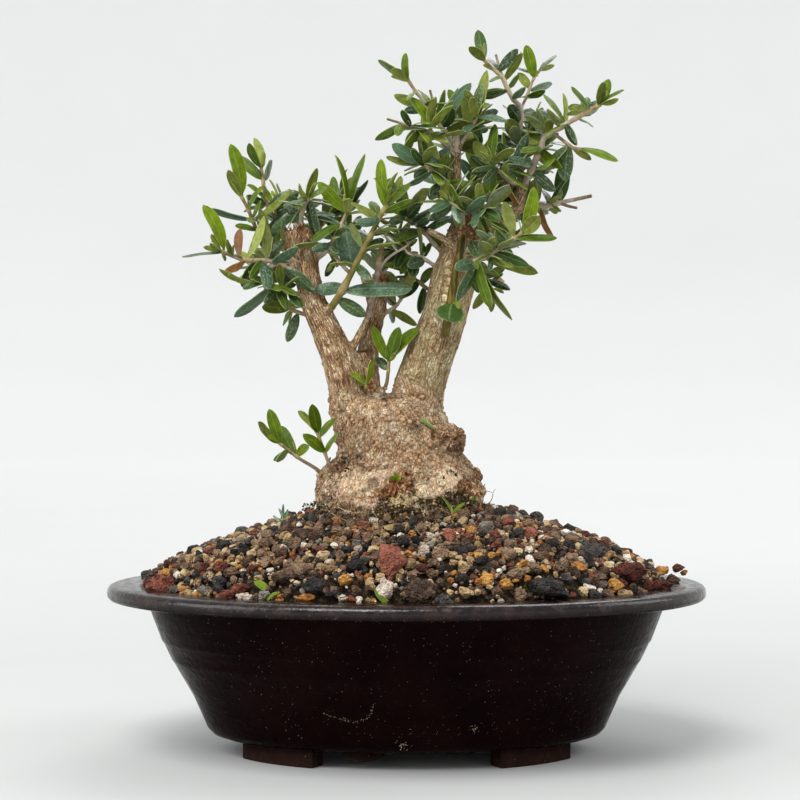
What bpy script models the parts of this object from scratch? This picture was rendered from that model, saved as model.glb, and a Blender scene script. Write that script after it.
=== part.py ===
"""Olive bonsai in an oval plastic pot.

Metres, +Z up. The origin is on the table under the middle of the pot's four feet, +X runs along
the pot's long side and the tree's front faces -Y.
"""
import math
import random

import bmesh
import bpy
from mathutils import Vector, noise
from mathutils.bvhtree import BVHTree

MM = 0.001

# Pot, in millimetres. An inset is measured inwards from the lip's outermost oval.
LIP_HALF_LENGTH = 110.2
LIP_HALF_DEPTH = 84.0
POT_SIDES = 40
UNDERSIDE_HEIGHT = 5.3
FLOOR_HEIGHT = 8.3
FLOOR_INSET = 44.0
# Rows of the pot's section as (inset, height): outer wall from the underside up, lip, inner wall down.
POT_OUTER = (
    (46.0, UNDERSIDE_HEIGHT), (38.4, 7.0), (35.9, 11.0), (31.5, 20.6), (24.2, 33.2), (23.0, 34.0),
    (20.6, 40.2), (19.6, 41.0), (14.6, 55.0), (13.6, 56.0),
)
POT_LIP = ((1.8, 56.0), (0.0, 57.8), (0.3, 60.3), (2.0, 61.5), (14.4, 61.5))
POT_INNER = ((17.8, 55.0), (27.8, 32.0), (34.4, 20.6), (39.8, 10.6), (FLOOR_INSET, FLOOR_HEIGHT))

FOOT_OUTER_AXES = (66.0, 45.0)
FOOT_WIDTH = 7.0
FOOT_ANGLES = (26.0, 60.0)
FOOT_STEPS = 4
FOOT_SINK = 1.2

HOLE_RADIUS = 7.0
HOLE_OFFSET = 30.0
HOLE_SIDES = 18
CUT_REACH = 2.0
MESH_HALF_SIDE = 11.0
MESH_THICKNESS = 1.0
MESH_BARS = 3
MESH_BAR_WIDTH = 1.8

GAP = 0.3

# The soil's wall keeps clear of the flats of the pot's wall.
WALL_GAP = 0.75

# Soil, in millimetres: its height over the oval at MOUND_INSET, from the edge (1.0) to the trunk.
MOUND_INSET = 14.6
MOUND = ((1.0, 60.2), (0.94, 67.2), (0.8, 74.0), (0.57, 81.6), (0.33, 88.2), (0.0, 89.0))
MOUND_TILT = 0.024
SOIL_SIDES = 52
SOIL_RINGS = 11
RING_CROWDING = 0.85
RIM_STEP = 0.8
GRAIN_RISE = 2.8
GRAIN_SPREAD = 0.9
GRAIN_FREQUENCY = 0.41
GRAIN_GAIN = 1.6
SPREAD_SEEDS = (3.0, 7.0)

# Trunk foot where it stands in the soil, in millimetres.
FOOT_CENTRE_X = -2.5
BURIED_HEIGHT = 62.0
SOIL_LINE = 92.0
BURIED_AXES = (28.5, 23.5)
SOIL_LINE_AXES = (31.2, 26.0)
HOLE_CLEARANCE = 0.4
HOLE_LINE_X = 28.0
TRUNK_SIDES = 20
# Rows of the base above the soil as (height, middle x, half width, half depth).
TRUNK_BASE = (
    (96.0, -2.4, 30.6, 25.0), (101.0, -2.7, 29.0, 23.5), (104.5, -3.4, 26.6, 21.5),
    (107.5, -2.4, 23.8, 19.5), (113.0, -3.2, 22.4, 18.0), (119.5, -5.0, 20.6, 16.5),
    (125.0, -6.4, 19.8, 14.5), (129.4, -7.0, 17.0, 10.6),
    (131.6, -7.4, 11.5, 6.6),
)
BASE_RELIEF_SIZE = 12.0

# The tree is laid out in its front view, drawn from VIEW_RANGE away. A place is given as a
# column and a row of that view (the middle is 400, 400) and a depth in millimetres behind the
# trunk's middle. One unit is 0.37 mm at depth 0.
VIEW_MIDDLE = 400.0
VIEW_RANGE = 700.0
VIEW_FOCUS = 1890.0
VIEW_X = -2.4
VIEW_Z = 129.0
MM_PER_UNIT = VIEW_RANGE / VIEW_FOCUS

# Limbs of the tree as places with a radius in millimetres: (column, row, depth, radius).
LIMBS = {
    "left_stem": (
        10, (359, 440, 0, 9.6), (353, 408, 0, 8.7), (346, 380, -1, 7.3), (337, 354, -2, 6.3),
        (326, 330, -2, 5.7), (314, 304, -2, 5.0), (307, 278, -2, 5.1), (302, 252, -2, 5.7),
        (300, 236, -2, 6.1), (299, 229, -2, 5.7)),
    "left_stem_heel": (
        8, (370, 434, 0, 9.0), (363, 404, 0, 7.6), (360, 378, 1, 7.0), (356, 354, 2, 5.0)),
    "middle_stem": (
        8, (364, 396, 3, 6.5), (366, 362, 5, 4.8), (370, 340, 6, 4.0), (377, 315, 7, 3.2),
        (380, 295, 7, 3.2), (381, 274, 7, 3.4)),
    "right_stem": (
        12, (412, 440, 0, 12.0), (416, 410, 1, 10.4), (420, 384, 2, 9.6), (431, 352, 3, 9.0),
        (444, 316, 3, 8.6), (454, 278, 3, 8.7), (462, 250, 3, 7.6), (465, 232, 3, 6.4),
        (466, 221, 3, 5.2)),
    "right_upright": (
        7, (464, 236, 2, 4.4), (460, 212, 1, 3.4), (457, 190, 0, 2.5), (456, 166, 0, 2.0),
        (456, 148, 0, 2.4), (457, 142, 0, 1.5), (457, 129, 0, 1.1)),
    "right_bough": (
        7, (466, 240, 4, 4.2), (484, 231, 5, 3.1), (503, 222, 7, 2.6), (517, 209, 8, 2.4),
        (522, 195, 8, 2.1), (521, 178, 8, 1.7), (519, 156, 8, 1.3)),
    "right_back_bough": (6, (466, 240, 6, 3.8), (468, 222, 14, 2.6), (472, 208, 24, 1.9)),
    "left_back_bough": (6, (305, 262, 0, 3.0), (310, 244, 12, 2.1), (316, 233, 23, 1.6)),
    "middle_back_bough": (5, (377, 318, 6, 2.7), (368, 291, 15, 1.7), (362, 272, 23, 1.3)),
    "bare_stub": (
        5, (350, 352, -1, 2.0), (356, 341, -3, 1.6), (367, 319, -4, 1.2), (373, 290, -4, 1.1),
        (378, 266, -4, 1.0), (383, 247, -4, 0.8)),
    "cut_stub": (6, (458, 250, -2, 2.4), (443, 238, -5, 1.5), (427, 230, -7, 1.3)),
    "climbing_shoot": (
        5, (447, 336, -5.6, 1.5), (451, 312, -6.2, 1.5), (456, 284, -6.0, 1.5), (461, 258, -5.0, 1.4),
        (464, 240, -3.6, 1.3)),
    "knob": (8, (442, 448, 5, 6.0), (447, 442, -2, 7.0), (452, 437, -8, 5.4), (455, 434, -12, 2.6)),
    "left_root": (7, (356, 472, -6, 9.0), (338, 484, -9, 6.6), (328, 499, -12, 3.6)),
    "right_root": (7, (440, 462, 2, 9.0), (466, 482, 0, 6.5), (480, 498, -2, 4.0)),
}
LIMB_RELIEF = 0.05
LIMB_RELIEF_SIZE = 9.0

COLLAR_SWELL = 1.25
COLLAR_ROOT_SWELL = 1.3
TWIG_SIDES = 5
TWIG_TAPER = 0.25
LEAF_THICKNESS = 0.8
LEAF_ROOT_DEPTH = 0.3
# Rings of a blade as (share of its length, half width as a share of its width).
LEAF_RINGS = ((0.34, 0.5), (0.7, 0.44))
LEAF_END_INSET = 2.4
LEAF_BOW = 0.06
LEAF_RATIO = 0.34
LEAF_LEAST_RATIO = 0.306
LEAF_TYPICAL_LENGTH = 12.5
LEAF_LENGTH_RANGE = (0.85, 1.15)
LEAF_GREATEST_TURN = 8.5
OLD_LEAF_WIDENING = 1.2
LEAF_CLEARANCE = 0.35
LEAF_FREE_FROM = 0.15
SWINGS = (0.0, 2.0, -2.0, 4.0, -4.0, 6.5, -6.5, 9.0, -9.0, 12.0, -12.0)

# Shoots. "stem" is the route of the shoot from inside the limb that bears it, "radii" its
# thickness at both ends in millimetres, "twigs" what branches from it. A leaf is (column and row
# of its foot, column and row of its tip, width in the view, kind). The kinds are y young and
# bright, g green, d dark and wet, s blue-green, o an underside, p a pale young underside and
# r withered. A shoot with "pairs" grows that many opposite pairs by rule instead.
SHOOTS = {
    "shoot_left_tall": {
        "stem": ((299, 256, -1), (282, 249, 0), (270, 242, 1), (258, 232, 0), (253, 221, -1),
                 (247, 207, -3), (241, 196, -4)),
        "radii": (1.0, 0.65),
        "leaves": (
            (241, 195, 230.5, 144, 13, "y"), (241, 197, 228, 170, 10, "o"),
            (252, 219, 209, 209, 4, "s"), (254, 220, 292, 190, 8, "o"),
            (258, 231, 235, 226, 6, "g"), (262, 236, 297, 208, 11, "d"),
            (268, 242, 282, 222, 7, "d"), (249, 210, 258, 192, 5, "g")),
    },
    "shoot_left_top": {
        "stem": ((296, 250, 3), (285, 229, 7), (276, 219, 8), (268, 207, 8), (264, 190, 7),
                 (263, 178, 6), (261, 168, 5)),
        "radii": (0.95, 0.6),
        "leaves": (
            (263, 180, 238, 156, 11, "g"), (261, 167, 249, 143, 8, "g"),
            (262, 167, 254, 138, 9, "p"), (264, 181, 272, 160, 4, "d"),
            (265, 185, 273, 200, 4, "y"), (265, 200, 247, 185, 5, "y"),
            (266, 205, 246, 196, 7, "d"), (268, 208, 299, 192, 12, "d"),
            (276, 219, 297, 197, 10, "d"), (280, 224, 268, 236, 7, "s")),
    },
    "shoot_left_crest": {
        "stem": ((301, 240, -3), (301, 218, -6), (304, 208, -7), (309, 199, -8)),
        "radii": (0.9, 0.6),
        "leaves": (
            (307, 202, 317, 168, 8, "o"), (309, 199, 318, 239, 9, "d"),
            (304, 208, 290, 222, 8, "s"), (303, 210, 321, 200, 7, "s"),
            (309, 199, 327, 188, 6, "g"), (301, 214, 283, 206, 7, "d"),
            (309, 199, 299, 184, 5, "p")),
    },
    "shoot_left_reach": {
        "stem": ((304, 275, -2), (287, 268, -6), (270, 261, -9), (246, 260, -12), (228, 254, -14),
                 (221, 251, -15)),
        "radii": (1.0, 0.7),
        "leaves": (
            (223, 250, 203, 205, 12, "y"), (224, 253, 182, 257, 3, "s"),
            (221, 251, 211, 243, 4, "g"), (246, 259, 264, 216, 9, "p"),
            (240, 257, 240, 229, 9, "r"), (244, 260, 225, 270, 6, "r"),
            (250, 260, 228, 276, 5, "y"), (256, 260, 242, 287, 7, "d"),
            (262, 261, 250, 279, 7, "g"), (268, 261, 284, 240, 8, "d"),
            (284, 267, 315, 292, 10, "d"), (272, 262, 298, 247, 7, "s"),
            (234, 256, 226, 240, 5, "o")),
    },
    "shoot_left_low": {
        "stem": ((313, 297, -3), (294, 293, -6), (281, 289, -8), (270, 285, -9), (262, 283, -10)),
        "radii": (0.9, 0.6),
        "leaves": (
            (262, 283, 219, 269, 4, "y"), (264, 283, 243, 289, 5, "d"),
            (270, 285, 253, 278, 6, "g"), (276, 288, 264, 303, 6, "d"),
            (272, 286, 234, 317, 7, "s"), (282, 289, 300, 274, 9, "d"),
            (288, 291, 284, 310, 6, "g")),
    },
    "shoot_left_under": {
        "stem": ((319, 319, 0), (300, 313, 1), (290, 309, 3), (281, 305, 5)),
        "radii": (0.8, 0.55),
        "leaves": (
            (290, 309, 262, 307, 13, "o"), (282, 305, 268, 293, 7, "d"),
            (298, 313, 287, 342, 9, "d"), (293, 311, 283, 325, 6, "g")),
    },
    "shoot_left_inner": {
        "stem": ((309, 263, -2), (323, 254, -5), (334, 240, -7), (341, 226, -8), (347, 213, -9)),
        "radii": (1.05, 0.7),
        "leaves": (
            (348, 212, 318, 182, 12, "y"), (348, 211, 365, 154, 9, "g"),
            (345, 217, 335, 155, 5, "y"), (343, 222, 368, 180, 7, "d"),
            (342, 226, 303, 213, 5, "s"), (343, 224, 352, 266, 21, "s"),
            (334, 240, 362, 226, 8, "d"), (336, 238, 318, 232, 8, "s"),
            (329, 247, 345, 256, 6, "g")),
    },
    "shoot_golden": {
        "stem": ((322, 318, -2), (333, 305, -8), (345, 285, -12), (357, 262, -14), (371, 235, -16),
                 (379, 218, -17), (387, 205, -18)),
        "radii": (1.5, 0.85),
        "twigs": (((351, 274, -13), (341, 264, -10), (333, 252, -9), (329, 243, -8)),),
        "leaves": (
            (385, 207, 381, 159, 11, "y"), (386, 206, 374, 178, 5, "y"),
            (387, 205, 391, 178, 11, "d"), (386, 207, 401, 176, 8, "o"),
            (380, 217, 351, 203, 8, "o"), (379, 219, 356, 222, 7, "s"),
            (383, 212, 413, 200, 8, "g"), (372, 234, 397, 227, 4, "d"),
            (345, 286, 315, 290, 11, "s"), (342, 291, 412, 289, 12, "s"),
            (337, 298, 366, 316, 11, "d"), (356, 265, 371, 280, 8, "d"),
            (363, 250, 384, 240, 7, "d"), (338, 259, 325, 276, 7, "d"),
            (330, 245, 312, 250, 7, "s"), (331, 247, 345, 236, 6, "g")),
    },
    "shoot_middle": {
        "stem": ((378, 318, 6), (389, 311, 6), (396, 306, 7), (402, 298, 8)),
        "radii": (0.8, 0.55),
        "leaves": (
            (390, 311, 417, 325, 8, "o"), (397, 305, 384, 296, 6, "d"),
            (402, 298, 397, 280, 7, "d"), (401, 299, 413, 288, 6, "g"),
            (394, 308, 392, 323, 6, "d")),
    },
    "shoot_crotch": {
        "stem": ((380, 396, 0), (386, 385, -1), (388, 373, -2), (389, 361, -3)),
        "radii": (0.8, 0.55),
        "leaves": (
            (388, 360, 373, 326, 10, "y"), (389, 361, 419, 328, 11, "y"),
            (389, 362, 399, 327, 13, "g"), (387, 368, 409, 371, 7, "g"),
            (387, 370, 377, 358, 8, "d")),
    },
    "shoot_tiny": {
        "stem": ((364, 396, 1), (366, 388, -10), (366, 384, -11)),
        "radii": (0.55, 0.45),
        "leaves": ((366, 385, 350, 373, 5, "y"), (366, 384, 371, 360, 5, "y")),
    },
    "shoot_foot_left": {
        "stem": ((332, 481, -6), (315, 468, -7), (300, 459, -8), (288, 450, -9), (279, 443, -10)),
        "radii": (0.75, 0.55),
        "leaves": (
            (279, 443, 258, 422, 7, "o"), (280, 443, 269, 409, 12, "y"),
            (296, 456, 281, 426, 13, "g"), (296, 457, 308, 445, 9, "y"),
            (288, 450, 276, 461, 6, "g")),
    },
    "shoot_foot_right": {
        "stem": ((338, 480, -10), (330, 466, -15), (326, 456, -15), (322, 445, -15), (317, 432, -15)),
        "radii": (0.75, 0.55),
        "leaves": (
            (317, 432, 298, 411, 7, "o"), (318, 432, 312, 404, 12, "y"),
            (324, 452, 303, 434, 11, "y"), (325, 452, 338, 433, 5, "g"),
            (320, 438, 335, 418, 7, "g")),
    },
    "shoot_notch_upper": {
        "stem": ((452, 262, 3), (434, 244, 4), (424, 232, 4), (413, 222, 3), (405, 216, 2)),
        "radii": (0.9, 0.6),
        "leaves": (
            (407, 218, 420, 203, 8, "d"), (406, 217, 388, 224, 8, "d"),
            (405, 216, 398, 198, 8, "d"), (414, 223, 455, 256, 9, "o"),
            (413, 222, 434, 208, 6, "d"), (424, 232, 452, 217, 7, "d"),
            (423, 231, 404, 240, 8, "d"), (433, 243, 424, 256, 6, "g"),
            (417, 226, 430, 219, 7, "s")),
    },
    "shoot_notch_middle": {
        "stem": ((449, 276, 2), (429, 262, 1), (418, 256, 2), (408, 252, 4), (400, 250, 5)),
        "radii": (0.8, 0.55),
        "leaves": (
            (424, 260, 408, 266, 10, "s"), (410, 253, 398, 244, 5, "y"),
            (402, 250, 384, 262, 9, "d"), (404, 251, 396, 268, 8, "d"),
            (416, 256, 412, 277, 9, "d"), (401, 250, 386, 246, 6, "g"),
            (420, 257, 424, 243, 5, "g")),
    },
    "shoot_notch_lower": {
        "stem": ((444, 300, 6), (425, 287, 9), (418, 281, 11), (410, 275, 13)),
        "radii": (0.75, 0.55),
        "leaves": (
            (424, 286, 420, 314, 7, "d"), (419, 282, 404, 296, 9, "d"),
            (411, 276, 398, 284, 7, "d"), (412, 277, 416, 262, 8, "d"),
            (421, 284, 433, 268, 9, "o"), (410, 275, 400, 263, 6, "g")),
    },
    "shoot_crown_left": {
        "stem": ((456, 150, 0), (450, 139, -3), (440, 125, -5), (425, 103, -7), (416, 92, -8),
                 (408, 80, -9)),
        "radii": (0.9, 0.65),
        "twigs": (((438, 122, -5), (434, 106, -7), (430, 90, -8)),),
        "leaves": (
            (410, 81, 391, 70, 10, "o"), (409, 80, 378, 60, 5, "g"),
            (408, 79, 406, 53, 7, "g"), (427, 106, 394, 95, 11, "o"),
            (430, 110, 418, 90, 6, "y"), (427, 107, 404, 111, 7, "s"),
            (436, 114, 445, 90, 6, "g"), (440, 125, 471, 83, 10, "s"),
            (442, 128, 458, 88, 5, "d"), (442, 127, 452, 107, 13, "d"),
            (445, 132, 470, 122, 6, "o"), (416, 92, 408, 100, 5, "g")),
    },
    "shoot_crown_front": {
        "stem": ((457, 160, -1), (446, 146, -6), (438, 138, -9), (431, 131, -11)),
        "radii": (0.85, 0.65),
        "twigs": (((433, 133, -11), (420, 129, -12), (404, 124, -13), (387, 119, -14)),),
        "leaves": (
            (430, 130, 410, 97, 9, "y"), (430, 130, 430, 100, 9, "p"),
            (402, 124, 375, 140, 8, "g"), (410, 126, 402, 110, 5, "d"),
            (431, 132, 447, 143, 8, "o"), (437, 138, 416, 131, 11, "o"),
            (414, 128, 386, 137, 3, "p"), (420, 130, 404, 146, 6, "g")),
    },
    "shoot_crown_low": {
        "stem": ((458, 200, -1), (447, 186, -5), (434, 172, -8), (421, 163, -10)),
        "radii": (0.95, 0.7),
        "leaves": (
            (421, 163, 392, 144, 11, "s"), (421, 163, 386, 157, 8, "o"),
            (428, 167, 451, 148, 8, "s"), (432, 170, 404, 187, 4, "s"),
            (428, 167, 414, 178, 9, "d"), (440, 178, 442, 158, 9, "d"),
            (446, 185, 485, 185, 6, "g"), (436, 174, 420, 152, 8, "s"),
            (443, 182, 430, 196, 8, "d"), (424, 165, 411, 150, 7, "d")),
    },
    "shoot_crown_sage": {
        "stem": ((458, 152, -1), (463, 141, -2), (470, 130, -3), (477, 118, -4)),
        "radii": (0.75, 0.6),
        "leaves": (
            (477, 118, 487, 70, 10, "o"), (476, 120, 462, 104, 13, "o"),
            (475, 122, 498, 111, 7, "s"), (471, 129, 488, 130, 7, "s"),
            (468, 133, 454, 122, 8, "d"), (477, 118, 508, 122, 6, "s"),
            (474, 124, 480, 142, 7, "d")),
    },
    "shoot_crown_top": {
        "stem": ((519, 160, 8), (519, 149, 8), (520, 126, 7), (521, 108, 6), (514, 100, 5),
                 (507, 88, 4), (502, 77, 3), (492, 68, 2), (484, 60, 1)),
        "radii": (1.2, 0.65),
        "twigs": (
            ((521, 109, 6), (528, 93, 9), (534, 78, 12), (540, 70, 14)),
            ((503, 79, 3), (499, 66, 5), (496, 55, 6))),
        "leaves": (
            (484, 60, 478, 30, 12, "g"), (485, 61, 469, 47, 9, "o"),
            (498, 72, 518, 49, 10, "g"), (504, 81, 522, 53, 8, "o"),
            (497, 70, 488, 58, 5, "d"), (502, 77, 490, 82, 5, "g"),
            (507, 88, 519, 75, 5, "g"), (513, 99, 525, 87, 5, "s"),
            (534, 78, 526, 45, 12, "y"), (535, 77, 520, 52, 6, "y"),
            (540, 70, 556, 55, 5, "g"), (536, 76, 514, 67, 4, "d"),
            (530, 88, 518, 73, 9, "o"), (529, 90, 552, 84, 5, "s"),
            (526, 97, 545, 90, 5, "g"), (508, 90, 480, 96, 5, "d"),
            (520, 122, 509, 105, 11, "d"), (519, 137, 506, 120, 15, "o"),
            (520, 130, 540, 144, 13, "o"), (519, 147, 494, 136, 8, "d"),
            (520, 116, 536, 112, 8, "d")),
    },
    "shoot_crown_right": {
        "stem": ((522, 192, 8), (526, 181, 3), (533, 166, -1), (541, 148, -4), (545, 137, -5),
                 (560, 128, -7), (575, 119, -9), (590, 110, -11), (600, 105, -12)),
        "radii": (1.35, 0.75),
        "twigs": (((553, 133, -6), (564, 141, -9), (573, 148, -10), (581, 149, -11)),),
        "leaves": (
            (600, 105, 624, 90, 4, "g"), (600, 105, 609, 79, 11, "g"),
            (599, 106, 603, 82, 9, "o"), (590, 110, 571, 87, 6, "g"),
            (578, 118, 588, 97, 10, "g"), (583, 115, 599, 101, 9, "d"),
            (587, 112, 568, 107, 10, "o"), (565, 125, 543, 94, 6, "g"),
            (564, 126, 563, 93, 4, "p"), (563, 127, 538, 110, 7, "s"),
            (560, 128, 552, 120, 5, "s"), (576, 119, 593, 127, 4, "g"),
            (566, 124, 577, 145, 6, "d"), (548, 136, 533, 116, 11, "d"),
            (549, 134, 550, 119, 9, "o"), (580, 149, 618, 161, 8, "g"),
            (573, 147, 591, 160, 6, "o"), (568, 144, 565, 181, 13, "d"),
            (541, 148, 520, 152, 7, "g"), (537, 156, 560, 164, 12, "o"),
            (531, 170, 555, 191, 10, "d"), (534, 164, 508, 158, 8, "s"),
            (540, 150, 562, 168, 8, "y")),
    },
    "shoot_crown_centre": {
        "stem": ((521, 184, 7), (511, 182, 1), (502, 174, -3), (491, 163, -6)),
        "radii": (0.85, 0.65),
        "twigs": (((508, 179, -0.5), (508, 170, -2.5), (507, 161, -4)),),
        "leaves": (
            (491, 164, 474, 141, 12, "o"), (490, 164, 488, 200, 13, "g"),
            (492, 164, 495, 124, 9, "g"), (503, 175, 470, 156, 7, "d"),
            (507, 162, 529, 152, 7, "s"), (507, 161, 499, 142, 8, "d"),
            (509, 168, 526, 176, 8, "d"), (498, 170, 472, 172, 8, "d"),
            (508, 180, 520, 206, 3, "r"), (510, 171, 528, 134, 9, "s"),
            (497, 169, 482, 184, 7, "d")),
    },
    "shoot_crown_burst": {
        "stem": ((463, 236, -1), (463, 221, -7), (462, 212, -11), (455, 206, -13), (449, 203, -14)),
        "radii": (0.95, 0.6),
        "twigs": (((462, 213, -11), (474, 212, -12), (488, 208, -13)),),
        "leaves": (
            (449, 203, 444, 181, 11, "o"), (456, 206, 451, 182, 6, "g"),
            (464, 213, 450, 184, 6, "g"), (462, 212, 479, 191, 8, "s"),
            (466, 213, 486, 196, 7, "s"), (450, 203, 430, 212, 7, "s"),
            (453, 205, 428, 220, 7, "d"), (487, 208, 512, 190, 7, "o"),
            (487, 208, 498, 241, 5, "g"), (480, 210, 500, 220, 9, "d"),
            (462, 213, 448, 222, 6, "s"), (478, 211, 474, 228, 6, "s"),
            (484, 209, 508, 212, 12, "d")),
    },
    "shoot_right_grey": {
        "stem": ((515, 212, 8), (527, 208, 12), (547, 206, 14), (563, 202, 15), (577, 199, 16),
                 (591, 196, 17)),
        "radii": (1.1, 0.75),
        "twigs": (((560, 203, 15), (568, 206, 13), (577, 208, 12)),),
        "leaves": (
            (560, 202, 565, 162, 13, "d"), (549, 205, 543, 189, 6, "d"),
            (542, 206, 554, 238, 5, "r"), (533, 207, 516, 195, 8, "d"),
            (529, 208, 540, 185, 8, "s"), (536, 207, 548, 214, 5, "d"),
            (530, 208, 524, 226, 8, "d"), (553, 205, 560, 212, 5, "g")),
    },
    "shoot_right_front": {
        "stem": ((457, 270, -2), (464, 267, -11), (474, 262, -15), (492, 254, -18), (515, 238, -20),
                 (523, 232, -21)),
        "radii": (0.95, 0.65),
        "leaves": (
            (523, 232, 534, 187, 13, "y"), (522, 233, 539, 216, 15, "o"),
            (515, 238, 557, 238, 8, "g"), (508, 243, 494, 226, 6, "s"),
            (515, 238, 529, 226, 6, "d"), (500, 249, 488, 232, 9, "d"),
            (494, 253, 529, 266, 9, "d"), (492, 254, 513, 268, 8, "o"),
            (497, 251, 516, 246, 5, "d"), (484, 258, 538, 273, 11, "o"),
            (474, 262, 512, 320, 7, "g"), (478, 261, 457, 301, 9, "d"),
            (474, 262, 455, 268, 10, "s"), (482, 258, 472, 240, 12, "d"),
            (478, 260, 491, 308, 9, "g"), (468, 265, 479, 293, 7, "d")),
    },
    "shoot_stem_bud": {
        "stem": ((450, 322, -2), (452, 317, -10.5), (454, 312, -12)),
        "radii": (0.6, 0.5),
        "leaves": ((453, 312, 441, 311, 14, "d"), (454, 312, 464, 309, 12, "d")),
    },
    "shoot_right_low": {
        "stem": ((466, 275, 6), (481, 276, 8), (487, 281, 10), (491, 288, 11)),
        "radii": (0.7, 0.5),
        "leaves": (
            (489, 285, 504, 281, 7, "r"), (491, 288, 491, 312, 8, "o"),
            (490, 286, 473, 309, 9, "o"), (484, 278, 505, 266, 8, "g"),
            (486, 280, 510, 290, 7, "d")),
    },
    "back_left_high": {
        "stem": ((312, 240, 20), (321, 226, 26), (333, 212, 29), (342, 196, 31)),
        "radii": (0.85, 0.6), "pairs": 5,
    },
    "back_left_outer": {
        "stem": ((311, 242, 14), (302, 231, 19), (290, 218, 25), (280, 204, 29)),
        "radii": (0.85, 0.6), "pairs": 5,
    },
    "back_left_low": {
        "stem": ((305, 268, 0), (298, 264, 9), (286, 262, 18), (272, 266, 25), (259, 268, 29)),
        "radii": (0.9, 0.6), "pairs": 5,
    },
    "back_middle": {
        "stem": ((363, 275, 22), (358, 264, 27), (351, 252, 30), (346, 236, 32)),
        "radii": (0.8, 0.6), "pairs": 5,
    },
    "back_middle_right": {
        "stem": ((368, 290, 15), (378, 278, 20), (389, 264, 25), (398, 246, 28)),
        "radii": (0.8, 0.6), "pairs": 5,
    },
    "back_right_high": {
        "stem": ((471, 211, 22), (474, 199, 28), (478, 184, 31), (481, 166, 32)),
        "radii": (0.9, 0.6), "pairs": 5,
    },
    "back_right_inner": {
        "stem": ((468, 222, 14), (458, 208, 20), (446, 194, 26), (437, 178, 29)),
        "radii": (0.9, 0.6), "pairs": 5,
    },
    "back_right_outer": {
        "stem": ((470, 214, 20), (486, 206, 25), (500, 201, 29), (517, 194, 31)),
        "radii": (0.9, 0.6), "pairs": 5,
    },
    "back_right_top": {
        "stem": ((457, 172, 0), (458, 163, 6), (458, 148, 13), (460, 130, 18), (461, 116, 20)),
        "radii": (0.9, 0.6), "pairs": 6,
    },
    "back_right_tip": {
        "stem": ((519, 172, 8), (525, 162, 13), (530, 148, 19), (535, 128, 23)),
        "radii": (0.85, 0.6), "pairs": 5,
    },
    "back_right_low": {
        "stem": ((466, 246, 5), (473, 243, 14), (483, 240, 21), (497, 240, 27)),
        "radii": (0.8, 0.6), "pairs": 4,
    },
}

# Opposite pairs that grow by rule: angles in degrees, lengths in millimetres.
PAIR_FIRST = 0.6
PAIR_LENGTHS = (11.0, 15.0)
PAIR_SHORTENING = 0.25
PAIR_TURN = 90.0
PAIR_TURN_RANGE = 15.0
PAIR_SPREAD = 48.0
PAIR_SPREAD_RANGE = 8.0
PAIR_OPENING = (1.15, 0.65)
PAIR_SWING_ANGLE = 0.12
PAIR_LIFT = 0.15
PAIR_STALK = 1.2
PAIR_KINDS = "gdsdo"
PAIR_SEED = 11


def clear_scene():
    for thing in list(bpy.data.objects):
        bpy.data.objects.remove(thing, do_unlink=True)


def finish(name, colour, roughness, coat=0.0):
    """A plain Principled material from a linear colour."""
    made = bpy.data.materials.new(name)
    made.use_nodes = True
    shader = made.node_tree.nodes["Principled BSDF"]
    shader.inputs["Base Color"].default_value = (*colour, 1.0)
    shader.inputs["Roughness"].default_value = roughness
    shader.inputs["Coat Weight"].default_value = coat
    return made


def solid(name, points, faces, material, smooth=40.0):
    """An object from points in millimetres, with its faces turned outwards."""
    mesh = bpy.data.meshes.new(name)
    mesh.from_pydata([Vector(p) * MM for p in points], [], faces)
    work = bmesh.new()
    work.from_mesh(mesh)
    bmesh.ops.recalc_face_normals(work, faces=work.faces)
    work.to_mesh(mesh)
    work.free()
    mesh.materials.append(material)
    mesh.shade_smooth()
    mesh.set_sharp_from_angle(angle=math.radians(smooth))
    made = bpy.data.objects.new(name, mesh)
    bpy.context.scene.collection.objects.link(made)
    return made


def ring_faces(first, second, count):
    """Quads between two rings of count points that start at first and second."""
    return [(first + i, first + (i + 1) % count, second + (i + 1) % count, second + i)
            for i in range(count)]


def loft(rings):
    """Points and faces of the closed body through rings of equal count."""
    count = len(rings[0])
    points = [p for ring in rings for p in ring]
    faces = [tuple(range(count)), tuple(range(len(points) - count, len(points)))]
    for i in range(len(rings) - 1):
        faces += ring_faces(i * count, (i + 1) * count, count)
    return points, faces


def unite(body, others, solver="EXACT"):
    """Joins the other objects to body in one union and removes them."""
    group = bpy.data.collections.new(body.name + "_repeats")
    for other in others:
        group.objects.link(other)
    union = body.modifiers.new("join", "BOOLEAN")
    union.operation = "UNION"
    union.operand_type = "COLLECTION"
    union.collection = group
    union.solver = solver
    apply_modifiers(body)
    for other in list(group.objects):
        bpy.data.objects.remove(other, do_unlink=True)
    bpy.data.collections.remove(group)


def cut(body, cutter):
    """Cuts the cutter out of body and removes it."""
    cutter.hide_render = True
    cutter.display_type = "WIRE"
    difference = body.modifiers.new("cut", "BOOLEAN")
    difference.operation = "DIFFERENCE"
    difference.object = cutter
    apply_modifiers(body)
    bpy.data.objects.remove(cutter, do_unlink=True)


def apply_modifiers(body):
    bpy.context.view_layer.update()
    graph = bpy.context.evaluated_depsgraph_get()
    mesh = bpy.data.meshes.new_from_object(body.evaluated_get(graph))
    body.modifiers.clear()
    body.data = mesh


def oval(inset, height, sides=POT_SIDES):
    """Ring of the pot's oval at an inset from the lip's outermost line."""
    half_x = LIP_HALF_LENGTH - inset
    half_y = LIP_HALF_DEPTH - inset
    turns = (2 * math.pi * i / sides for i in range(sides))
    return [(half_x * math.cos(a), half_y * math.sin(a), height) for a in turns]


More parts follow.
